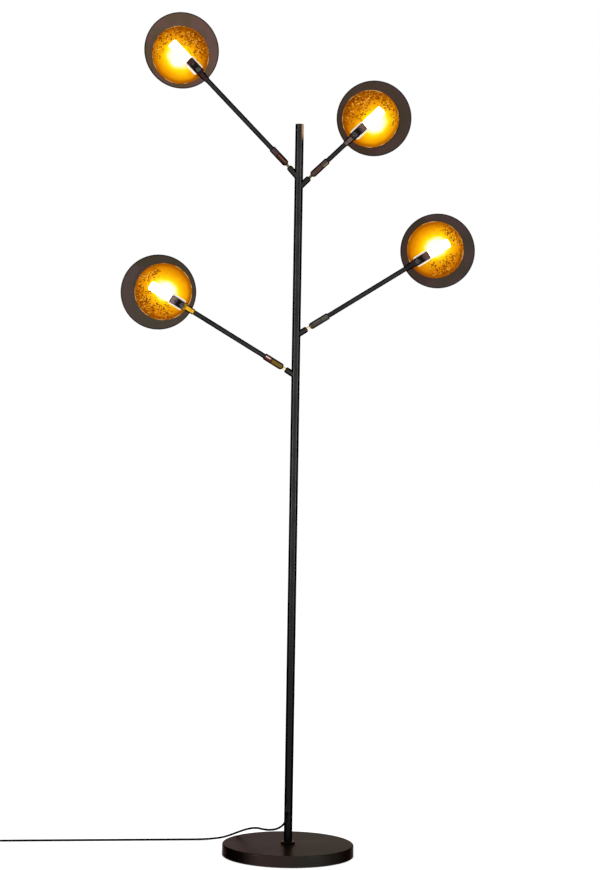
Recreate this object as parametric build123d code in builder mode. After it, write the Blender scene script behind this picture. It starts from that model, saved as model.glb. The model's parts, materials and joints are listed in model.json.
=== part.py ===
from build123d import *
import os
from math import atan2, ceil, cos, degrees, pi, radians, sin, sqrt, tan

os.makedirs("parts", exist_ok=True)

# Tree floor lamp, in millimetres. The origin is the centre of the base's underside, +Z is up, and -Y is
# the side that the lamp is looked at from. Four arms leave the pole, two to the left and two to the right,
# and each carries a bulb in front of a small gilt dish and a larger smoked dish.

# ---- Fits -------------------------------------------------------------------------------------------
running_fit = 0.05          # radial, for a shaft that turns or slides in its bore
screw_fit = 0.2             # radial, for a screw in a plain hole
seat_gap = 0.03             # between a welded piece and the curved wall that it sits on
turning_gap = 0.1           # between two flat faces that turn on each other

# ---- Base -------------------------------------------------------------------------------------------
base_diameter = 280.0
base_height = 25.0
cover_wall = 1.2
cover_corner = 3.0
cover_lift = 1.0            # the cover's edge stands this far off the floor
pad_thickness = 2.0
pad_margin = 6.0            # from the pad's edge to the cover's outside
weight_gap = 0.3            # between the weight's rim and the cover
weight_chamfer = 2.5
bolt_diameter = 10.0
bolt_head_across = 16.0
bolt_head_height = 6.4
bolt_engagement = 18.0      # thread length inside the foot
washer_diameter = 28.0
washer_thickness = 2.0
bolt_head_cover = 0.6       # from the pad's top to the bolt head
recess_gap = 3.0            # round the washer, in the weight's recess

# ---- Pole -------------------------------------------------------------------------------------------
pole_diameter = 18.0
pole_wall = 1.2
pole_above_arm = 116.0      # from where the highest arm leaves it to the pole's top
pole_cap_height = 2.0
pole_cap_corner = 0.8
pole_cap_plug = 10.0
foot_diameter = 30.0
foot_height = 4.5
foot_corner = 1.0
foot_spigot = 30.0
foot_spigot_roof = 4.0      # metal left above the blind bolt hole
section_1_top = 540.0
seam_above_arm = 42.0       # from where arm d leaves the pole to the seam above it
coupler_length = 40.0
coupler_bore = 9.0

# ---- Joints at the pole -----------------------------------------------------------------------------
stub_diameter = 13.0
stub_reach = 23.0           # level distance from the pole's axis to the stub's tip
stub_rounding = 4.0
stub_bore = 6.4             # for the lamp wires
stud_stem_diameter = 6.0
stud_stem_length = 10.0
ball_diameter = 11.0
neck_diameter = 5.8
neck_shown = 7.5            # from the stub's tip to the barrel's mouth
stud_bore = 3.0
mouth_setback = 3.0         # from the ball's centre to the barrel's mouth
mouth_lip = 0.6
pivot_pin_diameter = 2.5
pivot_pin_start = 3.3       # from the ball's centre to the pin's inner end
pivot_pin_inset = 0.15      # from the barrel's side to the pin's outer end
tilt_up = 20.0
tilt_down = 45.0
slot_margin = 3.0           # degrees of slot past the lowest tilt
slot_clearance = 0.3

# ---- Arms -------------------------------------------------------------------------------------------
barrel_diameter = 14.4
barrel_wall = 1.2
barrel_length = 28.0
barrel_taper = 7.0
barrel_chamfer = 0.5
collar_length = 17.0
collar_chamfer = 1.0
collar_spigot = 18.0
collar_wire_bore = 4.4
rod_diameter = 10.4
rod_wall = 1.0
rod_insert = 12.0           # rod length inside the collar
rod_plug = 8.0              # solid length at the rod's far end
rod_tip_diameter = 6.0
rod_tip_bore = 3.6
sleeve_length = 19.5        # of the stepped sleeve at the rod's far end, against the bracket
sleeve_diameter = 14.0
sleeve_neck_diameter = 12.4
sleeve_neck_length = 8.0
sleeve_chamfer = 0.6

# ---- Heads: distances are from the smoked dish's axis, and heights from the rod's axis ------------------
bracket_width = 16.5
bracket_plate = 2.0
bracket_wall = 3.0
bracket_near_end = 61.0
bracket_far_end = 23.0
bracket_front = 5.0         # height of the plate's back face
bracket_drop = 7.0          # depth of the end wall below the rod's axis
bracket_corner = 3.5
bracket_bend = 1.5
holder_near_end = 55.5
holder_far_end = 21.5
holder_width = 23.0
holder_back = 9.0           # depth of the ceramic's back below the rod's axis
holder_corner = 4.0
holder_edge = 1.0
clamp_at = 51.0             # the clamp screw that carries both dishes
clamp_diameter = 4.0
clamp_head_diameter = 11.0
clamp_head_height = 2.6
clamp_head_dome = 1.6
holder_screw_at = 35.0
holder_screw_diameter = 2.6
holder_screw_head = 5.2
holder_screw_head_height = 1.5
holder_screw_depth = 8.0
spacer_diameter = 9.0
cap_nut_flange = 12.0
cap_nut_flange_height = 1.2
cap_nut_across = 8.0
cap_nut_height = 4.0
cap_nut_dome = 3.0
clamp_thread_in_nut = 4.0
gilt_diameter = 120.0
gilt_floor_diameter = 104.0
gilt_rise = 4.0
gilt_thickness = 1.0
gilt_depth = 16.0           # depth of the dish's floor below the rod's axis
gilt_offset = 5.0           # the gilt dish sits this far towards the pole
smoked_diameter = 158.5
smoked_floor_diameter = 124.0
smoked_rise = 2.5
smoked_thickness = 3.0
smoked_depth = 41.0

# ---- Bulbs ------------------------------------------------------------------------------------------
bulb_diameter = 19.0
bulb_shown = 47.0
bulb_axis_depth = 2.0       # depth of the bulb's axis below the rod's axis
bulb_gap = 1.0              # from the ceramic to the bulb's cover
bulb_front_rounding = 3.0
bulb_back_rounding = 2.0
bulb_base_width = 14.4
bulb_base_thickness = 8.4
bulb_base_depth = 6.0
bulb_base_corner = 2.0
bulb_base_gap = 0.1
bulb_pin_spacing = 9.0
bulb_pin_diameter = 1.0
bulb_pin_length = 8.0
bulb_pin_gap = 0.3

# ---- Mains lead -------------------------------------------------------------------------------------
cord_diameter = 4.5
floor_gap = 0.1             # under the cord, where it lies on the floor
cord_exit_height = 105.0
cord_exit_turn = 5.0        # degrees to the left of the front
cord_exit_dip = 30.0
cord_straight_exit = 16.0   # length that leaves the bushing straight
relief_length = 20.0
relief_root_diameter = 9.0
relief_tip_diameter = 6.4
relief_shank_diameter = 7.0
relief_shank_depth = 4.5    # how far the shank reaches inside the pole's outer face
lead_in_pole_bend = 5.0
lead_below_arm = 2.0        # the lead inside the pole ends this far below the highest arm

# ---- Foot switch and plug ---------------------------------------------------------------------------
switch_length = 60.0
switch_width = 32.0
switch_height = 20.0
switch_corner = 10.0
switch_top_rounding = 3.0
switch_nib_length = 6.0
switch_nib_root = 10.0
switch_nib_tip = 7.0
switch_cord_height = 6.0
button_diameter = 18.0
button_flange = 1.0         # wider than the button, all round
button_flange_height = 1.5
button_above = 4.0
button_travel = 2.0
button_rounding = 1.5
button_well_roof = 3.0
button_well_spare = 0.4
plug_width = 35.0
plug_thickness = 14.0
plug_shoulder = 14.0        # straight length behind the pin face
plug_body_length = 35.0
plug_tail_width = 13.0
plug_edge = 3.0
plug_tail_length = 18.0
plug_tail_root = 10.0
plug_tail_tip = 6.4
plug_pin_diameter = 4.0
plug_pin_length = 19.0
plug_pin_spacing = 19.0
plug_pin_inside = 6.0

# Each arm: the side it leaves on, the height where its stub meets the pole's axis, the rise of the stub
# and of the arm, the turn towards the front, the length from the ball to the smoked dish's axis, how far
# the head is turned about the rod, and how far each dish is swung about the clamp screw that carries it.
arms = {
    "arm_a": {"side": -1, "root": 1441.0, "stub_rise": 46.2, "rise": 43.3, "forward": 17.5,
              "length": 320.5, "head_turn": -5.6, "smoked_swing": -14.0, "gilt_swing": 2.4},
    "arm_b": {"side": 1, "root": 1420.5, "stub_rise": 44.0, "rise": 42.6, "forward": 11.8,
              "length": 173.5, "head_turn": 9.3, "smoked_swing": 1.0, "gilt_swing": 4.3},
    "arm_c": {"side": 1, "root": 1106.5, "stub_rise": 33.1, "rise": 32.2, "forward": 1.8,
              "length": 315.3, "head_turn": 2.8, "smoked_swing": -3.2, "gilt_swing": 1.9},
    "arm_d": {"side": -1, "root": 1020.4, "stub_rise": 31.3, "rise": 29.9, "forward": 14.1,
              "length": 301.3, "head_turn": -13.5, "smoked_swing": 8.0, "gilt_swing": -2.2},
}

# Worked-out sizes that several pieces share
pole_radius = pole_diameter / 2
pole_bore = pole_diameter - 2 * pole_wall
insert_radius = pole_bore / 2 - running_fit
foot_top = base_height + foot_height
lamp_pole_top = arms["arm_a"]["root"] + pole_above_arm
section_2_top = arms["arm_d"]["root"] + seam_above_arm
lead_in_pole_top = arms["arm_a"]["root"] - lead_below_arm
pole_tube_top = lamp_pole_top - pole_cap_height
barrel_radius = barrel_diameter / 2
socket_radius = ball_diameter / 2 + running_fit
barrel_end = barrel_length - mouth_setback
collar_start = barrel_end + turning_gap
collar_end = collar_start + collar_length
rod_start = collar_end - rod_insert
clamp_hole = clamp_diameter / 2 + screw_fit
cord_radius = cord_diameter / 2
cord_floor_height = cord_radius + floor_gap


def save(name, piece):
    """Label a finished piece and write it as one STEP file."""
    piece.part.label = name
    export_step(piece.part, f"parts/{name}.step")


def slant(side, forward, rise):
    """Unit vector that leaves the pole on one side, turned forward and rising."""
    level = cos(radians(rise))
    return Vector(side * cos(radians(forward)) * level, -sin(radians(forward)) * level, sin(radians(rise)))


def stub_direction(arm):
    return slant(arm["side"], arm["forward"], arm["stub_rise"])


def stub_tip(arm):
    """Distance from the pole's axis to the stub's tip, along the stub."""
    return stub_reach / cos(radians(arm["stub_rise"]))


def pivot_distance(arm):
    return stub_tip(arm) + neck_shown + mouth_setback


def pivot_axis(arm):
    """Level direction that faces the front, square to the arm's upright plane."""
    return Vector(-arm["side"] * sin(radians(arm["forward"])), -cos(radians(arm["forward"])), 0)


def stub_plane(arm):
    """Sketch plane along the stub: x runs up the stub's axis from the pole's axis."""
    return Plane(origin=(0, 0, arm["root"]), x_dir=stub_direction(arm), z_dir=pivot_axis(arm))


def knuckle_plane(arm):
    """Sketch plane at the ball's centre: x runs out along the arm, z faces the front."""
    origin = Vector(0, 0, arm["root"]) + stub_direction(arm) * pivot_distance(arm)
    return Plane(origin=origin, x_dir=slant(arm["side"], arm["forward"], arm["rise"]), z_dir=pivot_axis(arm))


def head_plane(arm):
    """Plane on the rod's axis where the smoked dish's axis crosses it: x runs outwards, z faces the front."""
    knuckle = knuckle_plane(arm)
    facing = knuckle.z_dir.rotate(Axis((0, 0, 0), knuckle.x_dir), arm["head_turn"])
    return Plane(origin=knuckle.origin + knuckle.x_dir * arm["length"], x_dir=knuckle.x_dir, z_dir=facing)


def shifted(plane, along=0.0, across=0.0, up=0.0):
    """The same plane, moved along its own three directions."""
    return Plane(origin=plane.from_local_coords((along, across, up)), x_dir=plane.x_dir, z_dir=plane.z_dir)


def turned_plane(plane):
    """Sketch plane for a piece turned about the plane's z: sketch x is the radius, sketch y is the height."""
    return Plane(origin=plane.origin, x_dir=plane.x_dir, z_dir=plane.x_dir.cross(plane.z_dir))


def centre_axis(plane):
    return Axis(plane.origin, plane.z_dir)


def long_axis(plane):
    return Axis(plane.origin, plane.x_dir)


# ---- Base -------------------------------------------------------------------------------------------
with BuildPart() as base_pad:
    with BuildSketch():
        Circle(base_diameter / 2 - pad_margin)
    extrude(amount=pad_thickness)
save("base_pad", base_pad)

washer_bottom = pad_thickness + bolt_head_cover + bolt_head_height
recess_top = washer_bottom + washer_thickness
bolt_top = base_height + bolt_engagement
weight_top = base_height - cover_wall

with BuildPart() as base_weight:
    with BuildSketch(Plane.XY.offset(pad_thickness)):
        Circle(base_diameter / 2 - cover_wall - weight_gap)
    extrude(amount=weight_top - pad_thickness)
    chamfer(base_weight.faces().sort_by(Axis.Z)[-1].edges(), weight_chamfer)
    with BuildSketch(Plane.XY.offset(pad_thickness)):
        Circle(washer_diameter / 2 + recess_gap)
    extrude(amount=recess_top - pad_thickness, mode=Mode.SUBTRACT)
    with BuildSketch(Plane.XY.offset(recess_top)):
        Circle(bolt_diameter / 2 + screw_fit)
    extrude(amount=weight_top - recess_top, mode=Mode.SUBTRACT)
save("base_weight", base_weight)

with BuildPart() as base_cover:
    with BuildSketch(Plane.XY.offset(cover_lift)):
        Circle(base_diameter / 2)
    extrude(amount=base_height - cover_lift)
    fillet(base_cover.faces().sort_by(Axis.Z)[-1].edges(), cover_corner)
    offset(amount=-cover_wall, openings=base_cover.faces().sort_by(Axis.Z)[0])
    with BuildSketch(Plane.XY.offset(weight_top)):
        Circle(bolt_diameter / 2 + screw_fit)
    extrude(amount=cover_wall, mode=Mode.SUBTRACT)
save("base_cover", base_cover)

with BuildPart() as base_bolt:
    with BuildSketch(Plane.XY.offset(washer_bottom - bolt_head_height)):
        RegularPolygon(bolt_head_across / 2, 6, major_radius=False)
    extrude(amount=bolt_head_height)
    with BuildSketch(Plane.XY.offset(washer_bottom)):
        Circle(bolt_diameter / 2)
    extrude(amount=bolt_top - washer_bottom)
    chamfer(base_bolt.faces().sort_by(Axis.Z)[-1].edges(), 1.0)
    with BuildSketch(Plane.XY.offset(washer_bottom)):
        Circle(washer_diameter / 2)
        Circle(bolt_diameter / 2 + screw_fit, mode=Mode.SUBTRACT)
    extrude(amount=washer_thickness)
save("base_bolt", base_bolt)

# ---- Pole -------------------------------------------------------------------------------------------
with BuildPart() as foot_collar:
    with BuildSketch(Plane.XY.offset(base_height)):
        Circle(foot_diameter / 2)
    extrude(amount=foot_height)
    fillet(foot_collar.faces().sort_by(Axis.Z)[-1].edges(), foot_corner)
    with BuildSketch(Plane.XY.offset(foot_top)):
        Circle(insert_radius)
    extrude(amount=foot_spigot)
    with BuildSketch(Plane.XY.offset(base_height)):
        Circle(bolt_diameter / 2 + running_fit)
    extrude(amount=foot_height + foot_spigot - foot_spigot_roof, mode=Mode.SUBTRACT)
save("foot_collar", foot_collar)

exit_direction = Vector(
    -sin(radians(cord_exit_turn)) * cos(radians(cord_exit_dip)),
    -cos(radians(cord_exit_turn)) * cos(radians(cord_exit_dip)),
    -sin(radians(cord_exit_dip)),
)
exit_point = Vector(
    -pole_radius * sin(radians(cord_exit_turn)),
    -pole_radius * cos(radians(cord_exit_turn)),
    cord_exit_height,
)
relief_tip = exit_point + exit_direction * relief_length
relief_inner_end = exit_point - exit_direction * relief_shank_depth
section_tops = [section_1_top, section_2_top, pole_tube_top]
section_bottoms = [foot_top, section_1_top, section_2_top]

for number, (bottom, top) in enumerate(zip(section_bottoms, section_tops), start=1):
    with BuildPart() as pole_section:
        with BuildSketch(Plane.XY.offset(bottom)):
            Circle(pole_radius)
            Circle(pole_bore / 2, mode=Mode.SUBTRACT)
        extrude(amount=top - bottom)
        for arm in arms.values():
            if bottom < arm["root"] < top:
                with BuildSketch(Plane(origin=(0, 0, arm["root"]), z_dir=stub_direction(arm))):
                    Circle(stub_bore / 2)
                extrude(amount=stub_tip(arm), mode=Mode.SUBTRACT)
        if bottom < cord_exit_height < top:
            with BuildSketch(Plane(origin=relief_inner_end, z_dir=exit_direction)):
                Circle(relief_shank_diameter / 2 + running_fit)
            extrude(amount=relief_length, mode=Mode.SUBTRACT)
    save(f"pole_section_{number}", pole_section)

with BuildPart() as pole_couplers:
    for seam in section_tops[:-1]:
        with BuildSketch(Plane.XY.offset(seam - coupler_length / 2)):
            Circle(insert_radius)
            Circle(coupler_bore / 2, mode=Mode.SUBTRACT)
        extrude(amount=coupler_length)
save("pole_couplers", pole_couplers)

with BuildPart() as pole_cap:
    with BuildSketch(Plane.XY.offset(pole_tube_top)):
        Circle(pole_radius)
    extrude(amount=pole_cap_height)
    fillet(pole_cap.faces().sort_by(Axis.Z)[-1].edges(), pole_cap_corner)
    with BuildSketch(Plane.XY.offset(pole_tube_top - pole_cap_plug)):
        Circle(insert_radius)
    extrude(amount=pole_cap_plug)
save("pole_cap", pole_cap)

# ---- Stubs and ball studs ---------------------------------------------------------------------------
with BuildPart() as arm_stubs:
    for arm in arms.values():
        tip = stub_tip(arm)
        with BuildSketch(stub_plane(arm)) as stub_profile:
            with BuildLine():
                Polyline((0, 0), (tip, 0), (tip, stub_diameter / 2), (0, stub_diameter / 2), close=True)
            make_face()
            fillet(stub_profile.vertices().group_by(Axis.X)[-1].sort_by(Axis.Y)[-1], stub_rounding)
            with Locations((0, 0)):
                Rectangle(tip, stud_stem_diameter / 2 + running_fit, align=Align.MIN, mode=Mode.SUBTRACT)
                Rectangle(tip - stud_stem_length, stub_bore / 2, align=Align.MIN, mode=Mode.SUBTRACT)
        revolve(axis=long_axis(stub_plane(arm)))
    with BuildSketch(Plane.XY.offset(foot_top)):
        Circle(pole_radius + seat_gap)
    extrude(amount=pole_tube_top - foot_top, mode=Mode.SUBTRACT)
save("arm_stubs", arm_stubs)

with BuildPart() as ball_studs:
    for arm in arms.values():
        tip = stub_tip(arm)
        centre = pivot_distance(arm)
        with BuildSketch(stub_plane(arm)):
            with Locations((centre, 0)):
                Circle(ball_diameter / 2)
            with Locations((tip, 0)):
                Rectangle(centre - tip, neck_diameter, align=(Align.MIN, Align.CENTER))
            with Locations((tip - stud_stem_length, 0)):
                Rectangle(stud_stem_length, stud_stem_diameter, align=(Align.MIN, Align.CENTER))
            with Locations((0, 0)):
                Rectangle(2 * centre, ball_diameter, align=Align.MIN, mode=Mode.INTERSECT)
                Rectangle(2 * centre, stud_bore / 2, align=Align.MIN, mode=Mode.SUBTRACT)
        revolve(axis=long_axis(stub_plane(arm)))
        for way in (-1, 1):
            hole_start = knuckle_plane(arm).origin + pivot_axis(arm) * way * (pivot_pin_start - running_fit)
            with BuildSketch(Plane(origin=hole_start, z_dir=pivot_axis(arm) * way)):
                Circle(pivot_pin_diameter / 2 + running_fit)
            extrude(amount=ball_diameter, mode=Mode.SUBTRACT)
save("ball_studs", ball_studs)


# ---- Arms -------------------------------------------------------------------------------------------
def cap_arc(run, rise):
    """Radius and angle of the arc that starts level and reaches a given rise over a given run."""
    bend = (run**2 + rise**2) / (2 * rise)
    return bend, atan2(run, bend - rise)


def make_barrel(arm):
    """Barrel: a socket round the ball, slotted underneath, and a bore for the collar's spigot."""
    plane = knuckle_plane(arm)
    mouth_radius = sqrt(socket_radius**2 - mouth_setback**2)
    seat_angle = atan2(mouth_radius, -mouth_setback)
    seat_middle = (pi / 2 + seat_angle) / 2
    with BuildPart() as barrel:
        with BuildSketch(plane):
            with BuildLine():
                Line((-mouth_setback, mouth_radius), (-mouth_setback, mouth_radius + mouth_lip))
                taper = Spline(
                    (-mouth_setback, mouth_radius + mouth_lip),
                    (barrel_taper - mouth_setback, barrel_radius),
                    tangents=((0.6, 0.8), (1, 0)),
                )
                Polyline(
                    taper @ 1,
                    (barrel_end - barrel_chamfer, barrel_radius),
                    (barrel_end, barrel_radius - barrel_chamfer),
                    (barrel_end, socket_radius),
                    (0, socket_radius),
                )
                ThreePointArc(
                    (0, socket_radius),
                    (socket_radius * cos(seat_middle), socket_radius * sin(seat_middle)),
                    (-mouth_setback, mouth_radius),
                )
            make_face()
        revolve(axis=long_axis(plane))
        slot_sweep = tilt_down + max(0.0, arm["stub_rise"] - arm["rise"]) + slot_margin
        slot_half = neck_diameter / 2 + slot_clearance
        reach = barrel_diameter
        under = -arm["side"]
        half_sweep = radians(slot_sweep / 2)
        slot_end = (-cos(2 * half_sweep), under * sin(2 * half_sweep))
        with BuildSketch(plane):
            with BuildLine():
                Polyline(
                    (0, 0),
                    (-reach, 0),
                    (-reach, under * reach * tan(half_sweep)),
                    (reach * slot_end[0], reach * slot_end[1]),
                    close=True,
                )
            make_face()
        extrude(amount=slot_half, both=True, mode=Mode.SUBTRACT)
        slot_direction = plane.x_dir * slot_end[0] + plane.y_dir * slot_end[1]
        with BuildSketch(Plane(origin=plane.origin, z_dir=slot_direction)):
            Circle(slot_half)
        extrude(amount=reach, mode=Mode.SUBTRACT)
        with BuildSketch(plane):
            Circle(pivot_pin_diameter / 2 + seat_gap)
        extrude(amount=barrel_diameter, both=True, mode=Mode.SUBTRACT)
    return barrel


def make_pivot_pins(arm):
    """Two short pins that hold the ball from either side, so that the barrel tilts about their line."""
    with BuildPart() as pins:
        for way in (-1, 1):
            start = knuckle_plane(arm).origin + pivot_axis(arm) * way * pivot_pin_start
            with BuildSketch(Plane(origin=start, z_dir=pivot_axis(arm) * way)):
                Circle(pivot_pin_diameter / 2)
            extrude(amount=barrel_radius - pivot_pin_inset - pivot_pin_start)
    return pins


def make_collar(arm):
    """Collar that holds the rod and turns in the barrel on a long spigot, and the sleeve at the far end."""
    plane = knuckle_plane(arm)
    sleeve_end = arm["length"] - bracket_near_end
    sleeve_start = sleeve_end - sleeve_length
    sleeve_step = sleeve_start + sleeve_neck_length
    with BuildPart() as collar:
        with BuildSketch(plane):
            with BuildLine():
                Polyline(
                    (collar_start - collar_spigot, collar_wire_bore / 2),
                    (collar_start - collar_spigot, socket_radius - running_fit),
                    (collar_start, socket_radius - running_fit),
                    (collar_start, barrel_radius - barrel_chamfer),
                    (collar_start + barrel_chamfer, barrel_radius),
                    (collar_end - collar_chamfer, barrel_radius),
                    (collar_end, barrel_radius - collar_chamfer),
                    (collar_end, rod_diameter / 2 + running_fit),
                    (rod_start, rod_diameter / 2 + running_fit),
                    (rod_start, collar_wire_bore / 2),
                    close=True,
                )
            make_face()
            with BuildLine():
                Polyline(
                    (sleeve_start, rod_diameter / 2 + running_fit),
                    (sleeve_start, sleeve_neck_diameter / 2 - sleeve_chamfer),
                    (sleeve_start + sleeve_chamfer, sleeve_neck_diameter / 2),
                    (sleeve_step, sleeve_neck_diameter / 2),
                    (sleeve_step + sleeve_chamfer, sleeve_diameter / 2),
                    (sleeve_end, sleeve_diameter / 2),
                    (sleeve_end, rod_diameter / 2 + running_fit),
                    close=True,
                )
            make_face()
        revolve(axis=long_axis(plane))
    return collar


def make_rod(arm):
    """Steel tube with a solid end that screws into the bracket."""
    plane = knuckle_plane(arm)
    shoulder = arm["length"] - bracket_near_end
    tip_end = shoulder + bracket_wall
    bore_radius = rod_diameter / 2 - rod_wall
    with BuildPart() as rod:
        with BuildSketch(plane):
            with BuildLine():
                Polyline(
                    (rod_start, bore_radius),
                    (rod_start, rod_diameter / 2),
                    (shoulder, rod_diameter / 2),
                    (shoulder, rod_tip_diameter / 2),
                    (tip_end, rod_tip_diameter / 2),
                    (tip_end, rod_tip_bore / 2),
                    (shoulder - rod_plug, rod_tip_bore / 2),
                    (shoulder - rod_plug, bore_radius),
                    close=True,
                )
            make_face()
        revolve(axis=long_axis(plane))
    return rod


def make_bracket(arm):
    """Bent strap: a long plate in front of the ceramic and a short wall that the rod screws into."""
    head = head_plane(arm)
    plate_middle = -(bracket_near_end + bracket_far_end) / 2
    wall_middle = -bracket_near_end + bracket_wall / 2
    with BuildPart() as bracket:
        with BuildSketch(head.offset(bracket_front)) as plate:
            with Locations((plate_middle, 0)):
                Rectangle(bracket_near_end - bracket_far_end, bracket_width)
            fillet(plate.vertices().group_by(Axis.X)[-1], bracket_corner)
        extrude(amount=bracket_plate)
        with BuildSketch(head.offset(-bracket_drop)):
            with Locations((wall_middle, 0)):
                Rectangle(bracket_wall, bracket_width)
        extrude(amount=bracket_drop + bracket_front + bracket_plate - bracket_bend)
        with BuildSketch(head.offset(bracket_front)):
            with Locations((-clamp_at, 0)):
                Circle(clamp_hole)
            with Locations((-holder_screw_at, 0)):
                Circle(holder_screw_diameter / 2 + screw_fit)
        extrude(amount=bracket_plate, mode=Mode.SUBTRACT)
        with BuildSketch(Plane(origin=head.from_local_coords((-bracket_near_end, 0, 0)), z_dir=head.x_dir)):
            Circle(rod_tip_diameter / 2 + running_fit)
        extrude(amount=bracket_wall, mode=Mode.SUBTRACT)
    return bracket


def make_holder(arm):
    """Ceramic bulb holder with a pocket for the bulb's base, two pin holes and a hole for the wires."""
    head = head_plane(arm)
    length = holder_near_end - holder_far_end
    middle = -(holder_near_end + holder_far_end) / 2
    bulb_line = shifted(head, up=-bulb_axis_depth)
    pocket_floor = -holder_far_end - bulb_base_depth
    with BuildPart() as holder:
        with BuildSketch(head.offset(-holder_back)) as outline:
            with Locations((middle, 0)):
                Rectangle(length, holder_width)
            fillet(outline.vertices(), holder_corner)
        extrude(amount=holder_back + bracket_front)
        broad_faces = holder.faces().sort_by(centre_axis(head))
        chamfer([*broad_faces[0].edges(), *broad_faces[-1].edges()], holder_edge)
        with BuildSketch(Plane(origin=bulb_line.from_local_coords((pocket_floor, 0, 0)),
                               x_dir=head.y_dir, z_dir=head.x_dir)):
            RectangleRounded(bulb_base_width + 2 * bulb_base_gap, bulb_base_thickness + 2 * bulb_base_gap,
                             bulb_base_corner)
        extrude(amount=bulb_base_depth, mode=Mode.SUBTRACT)
        with BuildSketch(Plane(origin=bulb_line.from_local_coords((pocket_floor, 0, 0)),
                               x_dir=head.y_dir, z_dir=-head.x_dir)):
            with GridLocations(bulb_pin_spacing, 0, 2, 1):
                Circle(bulb_pin_diameter / 2 + bulb_pin_gap)
        extrude(amount=bulb_pin_length + bulb_pin_gap, mode=Mode.SUBTRACT)
        with BuildSketch(head.offset(-holder_back)):
            with Locations((-clamp_at, 0)):
                Circle(clamp_hole)
        extrude(amount=holder_back + bracket_front, mode=Mode.SUBTRACT)
        with BuildSketch(head.offset(bracket_front)):
            with Locations((-holder_screw_at, 0)):
                Circle(holder_screw_diameter / 2 + running_fit)
        extrude(amount=-holder_screw_depth, mode=Mode.SUBTRACT)
    return holder


def make_bulb(arm):
    """Two-pin capsule bulb: a frosted round cover, and a flat base with its pins."""
    head = head_plane(arm)
    bulb_line = shifted(head, up=-bulb_axis_depth)
    cover_start = -holder_far_end + bulb_gap
    cover_end = cover_start + bulb_shown
    base_start = -holder_far_end - bulb_base_depth + bulb_base_gap
    with BuildPart() as bulb:
        with BuildSketch(bulb_line) as half_cover:
            with Locations((cover_start, 0)):
                Rectangle(bulb_shown, bulb_diameter / 2, align=Align.MIN)
            outer = half_cover.vertices().group_by(Axis.Y)[-1].sort_by(Axis.X)
            fillet(outer[0], bulb_back_rounding)
            outer = half_cover.vertices().sort_by(Axis.X)[-2:].sort_by(Axis.Y)
            fillet(outer[-1], bulb_front_rounding)
        revolve(axis=long_axis(bulb_line))
        with BuildSketch(Plane(origin=bulb_line.from_local_coords((base_start, 0, 0)),
                               x_dir=head.y_dir, z_dir=head.x_dir)):
            RectangleRounded(bulb_base_width, bulb_base_thickness, bulb_base_corner)
        extrude(amount=cover_start - base_start)
        with BuildSketch(Plane(origin=bulb_line.from_local_coords((base_start, 0, 0)),
                               x_dir=head.y_dir, z_dir=-head.x_dir)):
            with GridLocations(bulb_pin_spacing, 0, 2, 1):
                Circle(bulb_pin_diameter / 2)
        extrude(amount=bulb_pin_length)
    return bulb


def make_fixings(arm):
    """Clamp screw and its cap nut, the two spacer tubes that it passes, and the small holder screw."""
    head = head_plane(arm)
    clamp = shifted(head, along=-clamp_at)
    front = bracket_front + bracket_plate
    back = -smoked_depth - smoked_thickness
    nut_roof = back - cap_nut_flange_height - cap_nut_height
    screw_end = back - cap_nut_flange_height - clamp_thread_in_nut + running_fit
    dome_bend, dome_sweep = cap_arc(cap_nut_across / 2, cap_nut_dome)
    with BuildPart() as fixings:
        with BuildSketch(clamp.offset(screw_end)):
            Circle(clamp_diameter / 2)
        extrude(amount=front - screw_end)
        with BuildSketch(clamp.offset(front)):
            Circle(clamp_head_diameter / 2)
        extrude(amount=clamp_head_height)
        fillet(fixings.faces().sort_by(centre_axis(head))[-1].edges(), clamp_head_dome)
        for top, height in (
            (-holder_back, gilt_depth - holder_back),
            (-gilt_depth - gilt_thickness, smoked_depth - gilt_depth - gilt_thickness),
        ):
            with BuildSketch(clamp.offset(top)):
                Circle(spacer_diameter / 2)
                Circle(clamp_hole, mode=Mode.SUBTRACT)
            extrude(amount=-height)
        with BuildSketch(turned_plane(clamp)):
            with BuildLine():
                Polyline(
                    (clamp_diameter / 2 + running_fit, back),
                    (cap_nut_flange / 2, back),
                    (cap_nut_flange / 2, back - cap_nut_flange_height),
                    (cap_nut_across / 2, back - cap_nut_flange_height),
                    (cap_nut_across / 2, nut_roof),
                )
                ThreePointArc(
                    (cap_nut_across / 2, nut_roof),
                    (dome_bend * sin(dome_sweep / 2),
                     nut_roof - cap_nut_dome + dome_bend * (1 - cos(dome_sweep / 2))),
                    (0, nut_roof - cap_nut_dome),
                )
                Polyline(
                    (0, nut_roof - cap_nut_dome),
                    (0, nut_roof),
                    (clamp_diameter / 2 + running_fit, nut_roof),
                    (clamp_diameter / 2 + running_fit, back),
                )
            make_face()
        revolve(axis=centre_axis(clamp))
        screw_start = front - bracket_plate - holder_screw_depth
        with BuildSketch(shifted(head, along=-holder_screw_at, up=screw_start)):
            Circle(holder_screw_diameter / 2)
        extrude(amount=bracket_plate + holder_screw_depth)
        with BuildSketch(shifted(head, along=-holder_screw_at, up=front)):
            Circle(holder_screw_head / 2)
        extrude(amount=holder_screw_head_height)
    return fixings


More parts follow.
